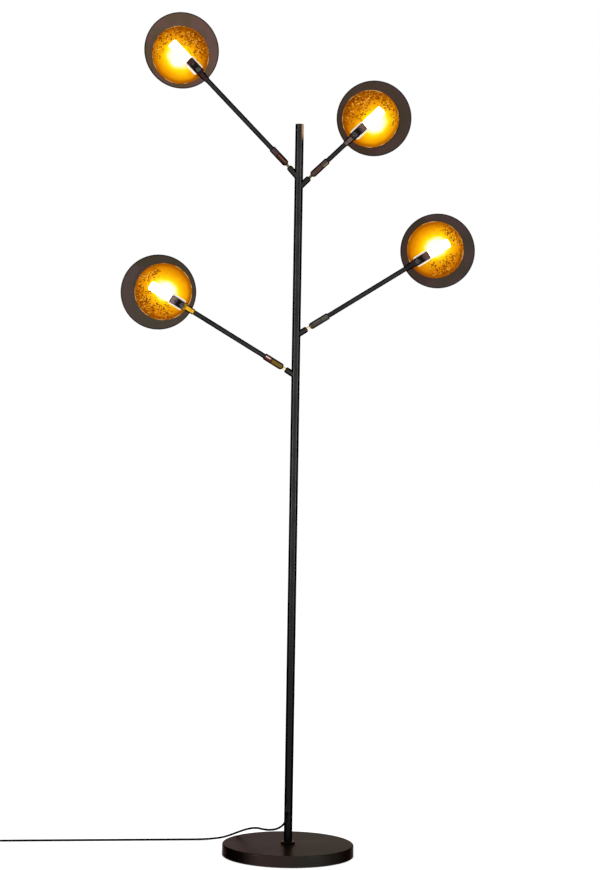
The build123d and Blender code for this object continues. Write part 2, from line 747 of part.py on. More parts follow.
def make_dish(arm, swing, offset_to_pole, diameter, floor_diameter, rise, thickness, depth):
    """Round flat dish with a forward-curling edge, swung about the clamp screw's hole off its centre."""
    head = head_plane(arm)
    reach = clamp_at - offset_to_pole
    centre = shifted(head, along=reach * cos(radians(swing)) - clamp_at, across=reach * sin(radians(swing)))
    floor_radius = floor_diameter / 2
    bend, sweep_angle = cap_arc((diameter - floor_diameter) / 2, rise)

    def on_curl(radius, angle):
        return (floor_radius + radius * sin(angle), -depth + bend - radius * cos(angle))

    with BuildPart() as dish:
        with BuildSketch(turned_plane(centre)):
            with BuildLine():
                Line((0, -depth), (floor_radius, -depth))
                ThreePointArc(
                    (floor_radius, -depth), on_curl(bend, sweep_angle / 2), on_curl(bend, sweep_angle)
                )
                Line(on_curl(bend, sweep_angle), on_curl(bend + thickness, sweep_angle))
                ThreePointArc(
                    on_curl(bend + thickness, sweep_angle),
                    on_curl(bend + thickness, sweep_angle / 2),
                    (floor_radius, -depth - thickness),
                )
                Line((floor_radius, -depth - thickness), (0, -depth - thickness))
                Line((0, -depth - thickness), (0, -depth))
            make_face()
        revolve(axis=centre_axis(centre))
        with BuildSketch(shifted(head, along=-clamp_at, up=-depth - thickness)):
            Circle(clamp_hole)
        extrude(amount=thickness, mode=Mode.SUBTRACT)
    return dish


for name, arm in arms.items():
    save(f"{name}_barrel", make_barrel(arm))
    save(f"{name}_pivot_pins", make_pivot_pins(arm))
    save(f"{name}_collar", make_collar(arm))
    save(f"{name}_rod", make_rod(arm))
    save(f"{name}_bracket", make_bracket(arm))
    save(f"{name}_holder", make_holder(arm))
    save(f"{name}_bulb", make_bulb(arm))
    save(f"{name}_fixings", make_fixings(arm))
    save(f"{name}_gilt_dish", make_dish(arm, arm["gilt_swing"], gilt_offset, gilt_diameter,
                                        gilt_floor_diameter, gilt_rise, gilt_thickness, gilt_depth))
    save(f"{name}_smoked_dish", make_dish(arm, arm["smoked_swing"], 0.0, smoked_diameter,
                                          smoked_floor_diameter, smoked_rise, smoked_thickness, smoked_depth))

# ---- Mains lead -------------------------------------------------------------------------------------
# The lead leaves the pole low down at the front, swings round the pole's left side, passes over the base's
# rim behind it, and runs straight along the floor to the left. Past that stretch it turns to the front,
# into the foot switch, then the coil, then the plug.
cord_route = [
    relief_tip,
    relief_tip + exit_direction * cord_straight_exit,
    Vector(-8.2, -51.5, 74.9),
    Vector(-22.0, -58.0, 65.8),
    Vector(-40.5, -55.8, 62.2),
    Vector(-55.4, -39.5, 61.0),
    Vector(-61.1, -17.0, 58.8),
    Vector(-65.6, 9.0, 55.1),
    Vector(-76.0, 38.0, 49.5),
    Vector(-90.5, 67.0, 41.1),
    Vector(-108.6, 93.0, 30.0),
    Vector(-128.1, 116.5, 17.9),
    Vector(-148.8, 135.0, 8.3),
    Vector(-187.0, 146.5, cord_floor_height),
    Vector(-640.0, 92.0, cord_floor_height),
    Vector(-669.0, 84.0, cord_floor_height),
    Vector(-691.0, 67.0, 3.8),
    Vector(-702.5, 44.0, switch_cord_height),
    Vector(-702.5, 20.0, switch_cord_height),
]


def bend_radii(route):
    """For each corner, 0.45 of the shorter run over the tangent of half the turn."""
    radii = []
    for before, corner, after in zip(route, route[1:], route[2:]):
        turn = radians((corner - before).get_angle(after - corner))
        shorter = min((corner - before).length, (after - corner).length)
        radii.append(0.45 * shorter / tan(turn / 2))
    return radii


cord_radii = bend_radii(cord_route)
print("cord bend radii:", ", ".join(f"{radius:.1f}" for radius in cord_radii))

with BuildPart() as cord:
    with BuildLine() as cord_line:
        FilletPolyline(*cord_route, radius=cord_radii)
    with BuildSketch(Plane(origin=cord_route[0], z_dir=cord_route[1] - cord_route[0])):
        Circle(cord_radius)
    sweep(path=cord_line.wires()[0])
cord_length = cord_line.wires()[0].length
print(f"cord length {cord_length:.1f}, volume {cord.part.volume:.1f}, "
      f"section x length {pi * cord_radius**2 * cord_length:.1f}")
save("cord", cord)

with BuildPart() as cord_bushing:
    relief_plane = Plane(origin=exit_point, z_dir=exit_direction)
    with BuildSketch(relief_plane.offset(-relief_shank_depth)):
        Circle(relief_root_diameter / 2)
    with BuildSketch(relief_plane.offset(relief_length)):
        Circle(relief_tip_diameter / 2)
    loft()
    with BuildSketch(Plane.XY.offset(foot_top)):
        Circle(pole_radius + seat_gap)
    extrude(amount=section_1_top - foot_top, mode=Mode.SUBTRACT)
    with BuildSketch(relief_plane.offset(-relief_shank_depth)):
        Circle(relief_shank_diameter / 2)
    extrude(amount=2 * relief_shank_depth)
save("cord_bushing", cord_bushing)

with BuildPart() as lead_in_pole:
    bend_point = Vector(0, 0, relief_inner_end.Z - relief_inner_end.Y / cos(radians(cord_exit_turn))
                        * tan(radians(cord_exit_dip)))
    lead_route = [relief_inner_end, bend_point, Vector(0, 0, lead_in_pole_top)]
    with BuildLine() as lead_line:
        FilletPolyline(*lead_route, radius=lead_in_pole_bend)
    with BuildSketch(Plane(origin=relief_inner_end, z_dir=bend_point - relief_inner_end)):
        Circle(cord_radius)
    sweep(path=lead_line.wires()[0])
save("lead_in_pole", lead_in_pole)

# ---- Foot switch ------------------------------------------------------------------------------------
switch_inlet = cord_route[-1]
switch_outlet = switch_inlet - Vector(0, switch_length + 2 * switch_nib_length, 0)
switch_middle = (switch_inlet + switch_outlet) * 0.5
switch_floor = Plane(origin=(switch_middle.X, switch_middle.Y, 0))
button_bottom = switch_height - button_well_roof - button_flange_height - turning_gap

with BuildPart() as switch_housing:
    with BuildSketch(switch_floor):
        RectangleRounded(switch_width, switch_length, switch_corner)
    extrude(amount=switch_height)
    fillet(switch_housing.faces().sort_by(Axis.Z)[-1].edges(), switch_top_rounding)
    for way in (-1, 1):
        end = switch_middle + Vector(0, way * switch_length / 2, 0)
        with BuildSketch(Plane(origin=end, z_dir=(0, way, 0))):
            Circle(switch_nib_root / 2)
        with BuildSketch(Plane(origin=end + Vector(0, way * switch_nib_length, 0), z_dir=(0, way, 0))):
            Circle(switch_nib_tip / 2)
        loft()
    with BuildSketch(switch_floor.offset(button_bottom - button_travel - button_well_spare)):
        Circle(button_diameter / 2 + button_flange + running_fit)
    extrude(amount=button_travel + button_well_spare + button_flange_height + turning_gap, mode=Mode.SUBTRACT)
    with BuildSketch(switch_floor.offset(switch_height)):
        Circle(button_diameter / 2 + running_fit)
    extrude(amount=-button_well_roof, mode=Mode.SUBTRACT)
save("switch_housing", switch_housing)

with BuildPart() as switch_button:
    with BuildSketch(switch_floor.offset(button_bottom)):
        Circle(button_diameter / 2 + button_flange)
    extrude(amount=button_flange_height)
    with BuildSketch(switch_floor.offset(button_bottom)):
        Circle(button_diameter / 2)
    extrude(amount=switch_height + button_above - button_bottom)
    fillet(switch_button.faces().sort_by(Axis.Z)[-1].edges(), button_rounding)
save("switch_button", switch_button)

# ---- Coil -------------------------------------------------------------------------------------------
# The rest of the lead is put away as a coil of two layers. Each half turn is one arc between two points
# on a line through the coil's centre: the lower layer winds inwards, one half turn climbs, and the upper
# layer winds outwards again.
coil_radius = 32.0
coil_pitch = 5.0            # between turns side by side, and between the two layers
coil_half_turns = 11
coil_reverse_step = 0.8     # extra step inwards at the half turn that climbs
coil_descent = 40.0         # level length over which the lead comes down from the switch
coil_straight_end = 9.0     # before the plug

climbing = coil_half_turns // 2
coil_start = Vector(switch_outlet.X, switch_outlet.Y - 2 * cord_diameter - coil_descent, cord_floor_height)
coil_centre = coil_start + Vector(coil_radius, 0, 0)


def coil_reach(corner):
    """Distance from the coil's centre at the end of a number of half turns."""
    from_reverse = min(abs(corner - climbing), abs(corner - climbing - 1))
    reach = coil_radius - (climbing - from_reverse) * coil_pitch / 2
    return reach - (coil_reverse_step if from_reverse == 0 else 0.0)


coil_corners = []
for corner in range(coil_half_turns + 1):
    way = -1 if corner % 2 == 0 else 1
    height = coil_pitch if corner > climbing else 0.0
    coil_corners.append(coil_centre + Vector(way * coil_reach(corner), 0, height))

with BuildPart() as cord_coil:
    with BuildLine() as coil_line:
        descent_start = switch_outlet - Vector(0, cord_diameter, 0)
        descent_end = coil_start + Vector(0, cord_diameter, 0)
        descent_middle = (descent_start + descent_end) * 0.5
        Line(switch_outlet, descent_start)
        TangentArc(descent_start, descent_middle, tangent=(0, -1, 0))
        TangentArc(descent_middle, descent_end, tangent=coil_line.edges()[-1] % 1)
        Line(descent_end, coil_start)
        for number, (start, end) in enumerate(zip(coil_corners, coil_corners[1:])):
            heading = -1 if number % 2 == 0 else 1
            half = (end - start).length / 2
            ThreePointArc(start, (start + end) * 0.5 + Vector(0, heading * half, 0), end)
        Line(coil_corners[-1], coil_corners[-1] + Vector(0, coil_straight_end, 0))
    with BuildSketch(Plane(origin=switch_outlet, z_dir=(0, -1, 0))):
        Circle(cord_radius)
    sweep(path=coil_line.wires()[0])
coil_wire = coil_line.wires()[0]
print(f"coil length {coil_wire.length:.1f}, volume {cord_coil.part.volume:.1f}, "
      f"section x length {pi * cord_radius**2 * coil_wire.length:.1f}")
save("cord_coil", cord_coil)

sample_count = ceil(coil_wire.length / 2)
samples = [coil_wire @ (number / sample_count) for number in range(sample_count + 1)]
apart = ceil(8 * cord_diameter / 2)
least_gap = min(
    (second - first).length
    for number, first in enumerate(samples)
    for second in samples[number + apart:]
) - cord_diameter
print(f"coil: least gap to itself {least_gap:.2f}, lead from end to end {cord_length + coil_wire.length:.0f}")

# ---- Plug -------------------------------------------------------------------------------------------
plug_entry = coil_corners[-1] + Vector(0, coil_straight_end, 0)
plug_tail_end = plug_entry + Vector(0, plug_tail_length, 0)
pin_face = plug_tail_end + Vector(0, plug_body_length, 0)
plug_plane = Plane(origin=(plug_tail_end.X, plug_tail_end.Y, plug_entry.Z - plug_thickness / 2))

with BuildPart() as plug_body:
    with BuildSketch(plug_plane) as plug_outline:
        with BuildLine():
            Polyline(
                (-plug_tail_width / 2, 0),
                (plug_tail_width / 2, 0),
                (plug_width / 2, plug_body_length - plug_shoulder),
                (plug_width / 2, plug_body_length),
                (-plug_width / 2, plug_body_length),
                (-plug_width / 2, plug_body_length - plug_shoulder),
                close=True,
            )
        make_face()
        fillet(plug_outline.vertices(), plug_edge)
    extrude(amount=plug_thickness)
    flat_faces = plug_body.faces().sort_by(Axis.Z)
    fillet([*flat_faces[0].edges(), *flat_faces[-1].edges()], plug_edge)
    with BuildSketch(Plane(origin=plug_entry, z_dir=(0, 1, 0))):
        Circle(plug_tail_tip / 2)
    with BuildSketch(Plane(origin=plug_tail_end + Vector(0, plug_edge, 0), z_dir=(0, 1, 0))):
        Circle(plug_tail_root / 2)
    loft()
    with BuildSketch(Plane(origin=pin_face, z_dir=(0, -1, 0))):
        with GridLocations(plug_pin_spacing, 0, 2, 1):
            Circle(plug_pin_diameter / 2 + seat_gap)
    extrude(amount=plug_pin_inside, mode=Mode.SUBTRACT)
save("plug_body", plug_body)

with BuildPart() as plug_pins:
    with BuildSketch(Plane(origin=pin_face - Vector(0, plug_pin_inside, 0), z_dir=(0, 1, 0))):
        with GridLocations(plug_pin_spacing, 0, 2, 1):
            Circle(plug_pin_diameter / 2)
    extrude(amount=plug_pin_inside + plug_pin_length)
    chamfer(plug_pins.faces().group_by(Axis.Y)[-1].edges(), plug_pin_diameter / 8)
save("plug_pins", plug_pins)
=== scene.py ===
# %% [markdown]
# # A tree floor lamp
#
# The lamp is a slim black pole on a round base, with four arms. Each arm holds a lit bulb in front of a small
# gilt dish and a larger smoked dish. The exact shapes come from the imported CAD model, which is loaded first
# and never changed. This lesson adds what the solids can't say: the cord as one smooth line, the small
# repeated details and every finish.

# %% Load the frame
import json
from math import cos, pi, radians, sin

import bpy
import bmesh
from mathutils import Matrix, Vector


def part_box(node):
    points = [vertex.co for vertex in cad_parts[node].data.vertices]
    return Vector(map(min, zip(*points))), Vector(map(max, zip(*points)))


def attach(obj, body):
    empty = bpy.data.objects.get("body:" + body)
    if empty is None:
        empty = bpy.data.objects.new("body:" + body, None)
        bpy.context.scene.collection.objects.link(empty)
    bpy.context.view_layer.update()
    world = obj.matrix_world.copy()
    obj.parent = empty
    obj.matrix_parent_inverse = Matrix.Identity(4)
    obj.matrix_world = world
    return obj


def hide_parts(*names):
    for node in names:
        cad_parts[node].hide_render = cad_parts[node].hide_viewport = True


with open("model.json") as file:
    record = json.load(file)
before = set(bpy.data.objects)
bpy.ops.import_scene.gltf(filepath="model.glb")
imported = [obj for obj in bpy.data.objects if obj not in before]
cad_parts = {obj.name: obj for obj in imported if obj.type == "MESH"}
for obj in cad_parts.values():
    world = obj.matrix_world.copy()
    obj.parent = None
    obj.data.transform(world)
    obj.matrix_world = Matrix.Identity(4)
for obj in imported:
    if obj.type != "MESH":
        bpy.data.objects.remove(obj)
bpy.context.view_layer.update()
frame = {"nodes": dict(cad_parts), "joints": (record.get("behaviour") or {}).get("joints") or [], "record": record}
nodes = frame["nodes"]
MM = 0.001

# %% [markdown]
# ## The camera
#
# A photograph's viewpoint can be copied by matching a few points. Here the lens, distance and height come
# from such a match: a long lens 4.5 m away, 0.9 m above the floor. The camera looks level, and the picture
# leans by about one degree, so the camera is rolled by that much. A matrix of its right, up and backward
# directions is clearer than three angles.

# %% Camera
PICTURE_HEIGHT = 870            # pixels, the long side
FOCAL_PIXELS = 2106.0
SENSOR_WIDTH = 36.0             # millimetres
ROLL = radians(0.945)
CAMERA_PLACE = (0.0115, -4.486, 0.895)
FARTHEST_SEEN = 60.0

camera_data = bpy.data.cameras.new("camera")
camera_data.sensor_width = SENSOR_WIDTH
camera_data.lens = FOCAL_PIXELS * SENSOR_WIDTH / PICTURE_HEIGHT
camera_data.clip_end = FARTHEST_SEEN
camera = bpy.data.objects.new("camera", camera_data)
right = Vector((cos(ROLL), 0, sin(ROLL)))
up = Vector((-sin(ROLL), 0, cos(ROLL)))
backward = Vector((0, -1, 0))
turn = Matrix((right, up, backward)).transposed().to_4x4()
camera.matrix_world = Matrix.Translation(CAMERA_PLACE) @ turn
bpy.context.scene.collection.objects.link(camera)
bpy.context.scene.camera = camera
print("lens", round(camera_data.lens, 2), "mm")

# %% [markdown]
# ## The cord's line
#
# A cord is a fixed length of something springy, so it is one curve and not a chain of pipes. A NURBS spline
# stays inside its control points and bends gently, as a cord does. It leaves the pole's strain relief, swings
# round the pole, passes over the base's rim and lies straight on the floor. Past the picture's edge it goes
# through a foot switch, and what is left is wound into a neat coil of two layers with the plug on its end.
# The coil's control points come from a formula: on each half turn, eight points stand a little outside the
# circle, so that the spline between them lies on it.

# %% Route of the cord
CORD_RADIUS = 2.25 * MM
FLOOR_HEIGHT = 2.35             # of the cord's centre where it lies on the floor, in millimetres

route = [
    (-2.294, -26.220, 95.0), (-3.502, -40.024, 87.0), (-8.2, -51.5, 74.9), (-22.0, -58.0, 65.8),
    (-40.5, -55.8, 62.9), (-55.4, -39.5, 62.0), (-61.1, -17.0, 59.1), (-65.6, 9.0, 54.9),
    (-76.0, 38.0, 49.5), (-90.5, 67.0, 41.1), (-108.6, 93.0, 30.0), (-128.1, 116.5, 17.9),
    (-148.8, 135.0, 8.3), (-187.0, 146.5, FLOOR_HEIGHT), (-227.0, 141.7, FLOOR_HEIGHT),
    (-610.1, 95.6, FLOOR_HEIGHT), (-640.0, 92.0, FLOOR_HEIGHT), (-669.0, 84.0, FLOOR_HEIGHT),
    (-691.0, 67.0, 3.8), (-702.5, 44.0, 6.0), (-702.5, 20.0, 6.0), (-702.5, -16.0, 6.0),
    (-702.5, -52.0, 6.0), (-702.5, -63.0, 6.0), (-702.5, -90.0, FLOOR_HEIGHT),
]

COIL_CENTRE = Vector((-670.5, -101.0, FLOOR_HEIGHT))
COIL_RADIUS, COIL_PITCH, HALF_TURNS, REVERSE_STEP = 32.0, 5.0, 11, 0.8
POINTS_PER_HALF = 8
RUN_TO_PLUG = 9.0               # straight piece after the coil, in millimetres
climbing = HALF_TURNS // 2      # the half turn that climbs from the lower layer to the upper one


def coil_corner(count):
    """Where the coil is after a number of half turns: inwards below, one climb, outwards above."""
    steps = min(abs(count - climbing), abs(count - climbing - 1))
    reach = COIL_RADIUS - (climbing - steps) * COIL_PITCH / 2 - (REVERSE_STEP if steps == 0 else 0)
    side = -1 if count % 2 == 0 else 1
    return COIL_CENTRE + Vector((side * reach, 0, COIL_PITCH if count > climbing else 0))


outside = 1 / cos(pi / (2 * POINTS_PER_HALF))
for half_turn in range(HALF_TURNS):
    start, end = coil_corner(half_turn), coil_corner(half_turn + 1)
    middle, radius = (start + end) / 2, (end - start).length / 2
    sideways = Vector((0, -radius if half_turn % 2 == 0 else radius, 0))
    for step in range(POINTS_PER_HALF):
        angle = (step + 0.5) * pi / POINTS_PER_HALF
        route.append(tuple(middle + ((start - middle) * cos(angle) + sideways * sin(angle)) * outside))
plug_entry = coil_corner(HALF_TURNS) + Vector((0, RUN_TO_PLUG, 0))
route.append(tuple(plug_entry))
print("cord route:", len(route), "points")

# %% Cord as a NURBS curve
curve = bpy.data.curves.new("mains_cord", "CURVE")
curve.dimensions = "3D"
spline = curve.splines.new("NURBS")
spline.points.add(len(route) - 1)
for point, place in zip(spline.points, route):
    point.co = (*[value * MM for value in place], 1.0)
spline.order_u = 3
spline.use_endpoint_u = True
spline.resolution_u = 5
curve.bevel_depth = CORD_RADIUS
curve.bevel_resolution = 4
curve.use_fill_caps = True
mains_cord = bpy.data.objects.new("mains_cord", curve)
bpy.context.scene.collection.objects.link(mains_cord)
print("cord made, thickness", 2 * CORD_RADIUS / MM, "mm")

# %% [markdown]
# ## Head frames
#
# Each head has its own directions: along the rod, across it, and out of the dishes. Patterns and small parts
# are easier to place in that frame. The ball's centre and the rod's direction are read from the packed
# joints. A few more numbers say how far out the head sits, how it is turned about the rod, how each dish is
# swung about the screw that carries it, and where the bulb's hot spot lies on the gilt dish.

# %% Head frames
# lengths in millimetres, angles in degrees
HEADS = {
    "arm_a": {"length": 320.5, "turn": -5.6, "smoked_swing": -14.0, "gilt_swing": 2.4, "glow": (-6.0, 9.6)},
    "arm_b": {"length": 173.5, "turn": 9.3, "smoked_swing": 1.0, "gilt_swing": 4.3, "glow": (-3.6, -10.4)},
    "arm_c": {"length": 315.3, "turn": 2.8, "smoked_swing": -3.2, "gilt_swing": 1.9, "glow": (-1.0, 5.6)},
    "arm_d": {"length": 301.3, "turn": -13.5, "smoked_swing": 8.0, "gilt_swing": -2.2, "glow": (-8.6, -5.8)},
}
CLAMP_AT = 51.0                 # from the head's origin back to the screw that carries both dishes
GILT_REACH, SMOKED_REACH = 46.0, 51.0       # from that screw to the dishes' centres
joints = {joint["name"]: joint for joint in frame["joints"]}


def frame_matrix(origin, along, facing):
    across = facing.cross(along)
    return Matrix.Translation(origin) @ Matrix((along, across, facing)).transposed().to_4x4()


for arm, head in HEADS.items():
    pivot = Vector(joints[f"{arm}_tilt"]["pos_m"])
    along = Vector(joints[f"{arm}_swivel"]["axis"]).normalized()
    pin = Vector(joints[f"{arm}_tilt"]["axis"]).normalized()
    if pin.y > 0:
        pin.negate()            # every head faces the camera's side
    facing = Matrix.Rotation(radians(head["turn"]), 3, along) @ pin
    head["matrix"] = frame_matrix(pivot + along * head["length"] * MM, along, facing)
    for dish, reach in (("gilt", GILT_REACH), ("smoked", SMOKED_REACH)):
        swing = radians(head[f"{dish}_swing"])
        head[f"{dish}_centre"] = ((reach * cos(swing) - CLAMP_AT) * MM, reach * sin(swing) * MM)
    print(arm, "head at", [round(value, 3) for value in head["matrix"].translation])

# %% [markdown]
# ## Writing shader maths as expressions
#
# A material is a net of nodes. Written one by one, they hide the idea. The class below wraps one socket, so
# that `1 - mask * 0.5` adds its own Math nodes, and every other node comes from one method. Colours go
# through Mix nodes, because a Math node would turn them grey.

# %% Shader socket wrapper
class Signal:
    """One output socket of a material. Operators with numbers or other signals add Math nodes."""

    def __init__(self, tree, socket):
        self.tree, self.socket = tree, socket

    def node(self, kind, settings=None, inputs=None, output=0):
        """Add a node: first its settings, then the values or links of its sockets."""
        made = self.tree.nodes.new(kind)
        for name, value in (settings or {}).items():
            if name == "stops":
                while len(made.color_ramp.elements) < len(value):
                    made.color_ramp.elements.new(1.0)
                for element, (place, colour) in zip(made.color_ramp.elements, value):
                    element.position, element.color = place, (*colour, 1.0)
            else:
                setattr(made, name, value)
        for name, value in (inputs or {}).items():
            if isinstance(value, Signal):
                self.tree.links.new(value.socket, made.inputs[name])
            else:
                made.inputs[name].default_value = value
        return Signal(self.tree, made.outputs[output])

    def math(self, operation, *values, clamp=False):
        return self.node("ShaderNodeMath", {"operation": operation, "use_clamp": clamp},
                         dict(enumerate(values)))

    def __add__(self, other): return self.math("ADD", self, other)
    def __radd__(self, other): return self.math("ADD", other, self)
    def __sub__(self, other): return self.math("SUBTRACT", self, other)
    def __rsub__(self, other): return self.math("SUBTRACT", other, self)
    def __mul__(self, other): return self.math("MULTIPLY", self, other)
    def __truediv__(self, other): return self.math("DIVIDE", self, other)
    def __gt__(self, other): return self.math("GREATER_THAN", self, other)
    def __lt__(self, other): return self.math("LESS_THAN", self, other)
    def __abs__(self): return self.math("ABSOLUTE", self)

    def root(self): return self.math("SQRT", self)
    def at_least(self, other): return self.math("MAXIMUM", self, other)
    def at_most(self, other): return self.math("MINIMUM", self, other)

    def between(self, low, high):
        """0 at low, 1 at high, and smooth between them."""
        return self.node("ShaderNodeMapRange", {"interpolation_type": "SMOOTHSTEP"},
                         {"Value": self, "From Min": low, "From Max": high})

    def mix(self, low, high):
        """A colour between two others, chosen by this signal."""
        return self.node("ShaderNodeMix", {"data_type": "RGBA"}, {0: self, 6: low, 7: high}, 2)

    def ramp(self, *stops):
        return self.node("ShaderNodeValToRGB", {"stops": stops}, {"Fac": self})

    def noise(self, scale, detail=2.0, roughness=0.5, output=0):
        """Cloudy pattern; scale counts blobs per metre."""
        return self.node("ShaderNodeTexNoise", None,
                         {"Vector": self, "Scale": scale, "Detail": detail, "Roughness": roughness}, output)

    def cells(self, scale, output=0):
        """Cell pattern: output 0 is the distance to a cell's point, 1 the cell's own random colour."""
        return self.node("ShaderNodeTexVoronoi", {"feature": "F1"}, {"Vector": self, "Scale": scale}, output)

    def parts(self):
        """The three parts of a vector signal."""
        return [self.node("ShaderNodeSeparateXYZ", None, {"Vector": self}, output) for output in range(3)]

    def stretch(self, amounts):
        return self.node("ShaderNodeVectorMath", {"operation": "MULTIPLY"}, {0: self, 1: amounts})

    def push(self, other, amount):
        """This vector, moved by another signal's colour times an amount."""
        moved = self.node("ShaderNodeVectorMath", {"operation": "SCALE"}, {0: other, "Scale": amount})
        return self.node("ShaderNodeVectorMath", {"operation": "ADD"}, {0: self, 1: moved})

    def facing(self):
        """0 where the surface faces the eye, 1 where it turns away."""
        return self.node("ShaderNodeLayerWeight", None, {"Blend": 0.5}, 1)

    def bump(self, strength, distance):
        """Surface relief from a height signal; distance in metres."""
        return self.node("ShaderNodeBump", None, {"Height": self, "Strength": strength, "Distance": distance})

    def placed_in(self, matrix):
        """The same place, told in a piece's own frame."""
        place, turned, _ = matrix.inverted().decompose()
        return self.node("ShaderNodeMapping", None,
                         {"Vector": self, "Location": place, "Rotation": turned.to_euler("XYZ")})


def finish_called(name, paint, **fixed):
    """Make a material. paint takes the object's coordinates and returns what feeds the shader."""
    material = bpy.data.materials.new(name)
    material.use_nodes = True
    tree = material.node_tree
    shader = tree.nodes["Principled BSDF"]
    where = Signal(tree, tree.nodes.new("ShaderNodeTexCoord").outputs["Object"])
    for socket, value in fixed.items():
        shader.inputs[socket.replace("_", " ")].default_value = value
    for socket, signal in paint(where).items():
        tree.links.new(signal.socket, shader.inputs[socket])
    return material


print("shader tools ready")

# %% [markdown]
# ## Black powder coat
#
# The pole, stubs and rods have a satin black powder coat. It is never quite flat: the powder flows into a
# fine orange peel, and the gloss changes a little from place to place. A glossy varnish turns white at its
# edges in a white room, but the photograph's pole and rods have black edges. So the middle of each tube is a
# dark metal, which mirrors the soft boxes, and its sides blend into a painted black with no gloss at all: a
# painted shade along each edge. The coat is lighter and glossier higher up. At the pole's very top its right
# side carries a painted warm gleam, which stands for the reflection of the nearest bulb.

# %% Black powder coat
LOW_COAT, HIGH_COAT = 0.10, 0.85            # heights between which the coat grows lighter and glossier
GLEAM_HEIGHTS = (1.518, 1.540)              # the gleam fades in between them
GLEAM_LEFT, GLEAM_RIGHT = (0.0040, 0.0065), (0.010, 0.016)


def powder_coat(where):
    x, _, z = where.parts()
    peel = where.noise(1100.0, 3.0)
    cloud = where.noise(18.0, 3.0)
    turned = where.facing()
    height = z.between(LOW_COAT, HIGH_COAT)
    upper = cloud.between(0.35, 0.7).mix((0.0260, 0.0250, 0.0242, 1), (0.0370, 0.0345, 0.0335, 1))
    coat = height.mix((0.0095, 0.0092, 0.0090, 1), upper)
    warmed = z.between(*GLEAM_HEIGHTS) * x.between(*GLEAM_LEFT) * (1 - x.between(*GLEAM_RIGHT))
    return {
        # painted shade: the base colour turns black where the tube turns away
        "Base Color": turned.between(0.09, 0.18).mix(coat, (0.0008, 0.0008, 0.0008, 1)),
        "Metallic": 1 - turned.between(0.24, 0.34),
        "Roughness": 0.24 + cloud * 0.05 + peel * 0.04 - height * 0.08,
        "Emission Color": warmed.mix((0.0, 0.0, 0.0, 1), (0.52, 0.30, 0.17, 1)),
        "Normal": peel.bump(0.15, 0.00005),
    }


black_coat = finish_called("black_powder_coat", powder_coat, Specular_IOR_Level=0.0,
                           Specular_Tint=(0.0, 0.0, 0.0, 1.0), Emission_Strength=1.0)
print("material:", black_coat.name)

# %% [markdown]
# ## Base enamel
#
# The base's cover is a spun steel shell with a warm black enamel. Seen almost edge on, its top mirrors the
# white room a little, and its side stays darker. A metallic shader with a grey edge tint does this. The top
# and the wall are browner on the left than on the right, and the wall is painted darker where it turns away,
# a painted shade. A faint dust of lighter specks and a few broad clouds stop it from being one flat colour.
# The foot collar has an enamel of its own, blacker and with a warmer edge tint.

# %% Base enamel
COVER_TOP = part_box("base_cover")[1].z
WALL_ENDS, TOP_STARTS = 0.0010, 0.0004      # below the cover's top, where the wall's tone becomes the top's
LEFT_TONE_AT, RIGHT_TONE_AT = -0.05, 0.06


def stove_enamel(where):
    x, _, z = where.parts()
    cloud = where.noise(9.0, 3.0)
    dust = where.noise(900.0, 2.0).between(0.66, 0.74)
    across = (x + (cloud - 0.5) * 0.08).between(LEFT_TONE_AT, RIGHT_TONE_AT)
    top = across.mix((0.0250, 0.0165, 0.0160, 1), (0.0260, 0.0290, 0.0190, 1))
    wall = across.mix((0.0260, 0.0165, 0.0150, 1), (0.0185, 0.0170, 0.0140, 1))
    shaded = across.mix((0.0030, 0.0022, 0.0020, 1), (0.0090, 0.0075, 0.0068, 1))
    # painted shade: the wall darkens where it turns away
    wall = where.facing().between(0.07, 0.32).mix(wall, shaded)
    colour = z.between(COVER_TOP - WALL_ENDS, COVER_TOP - TOP_STARTS).mix(wall, top)
    return {
        "Base Color": (dust * 0.35).mix(colour, (0.05, 0.042, 0.037, 1)),
        "Roughness": 0.30 + cloud * 0.10 + dust * 0.1,
        "Normal": where.noise(420.0, 2.0).bump(0.10, 0.00006),
    }


def collar_enamel(where):
    cloud = where.noise(60.0, 3.0)
    return {
        "Base Color": cloud.mix((0.0045, 0.0040, 0.0040, 1), (0.0080, 0.0065, 0.0060, 1)),
        "Roughness": 0.26 + cloud * 0.12,
        "Normal": where.noise(900.0, 2.0).bump(0.12, 0.00004),
    }


base_enamel = finish_called("base_enamel", stove_enamel, Metallic=1.0,
                            Specular_Tint=(0.417, 0.373, 0.358, 1.0))
foot_enamel = finish_called("foot_enamel", collar_enamel, Metallic=1.0, Specular_Tint=(0.60, 0.50, 0.40, 1.0))
print("materials:", base_enamel.name, foot_enamel.name)
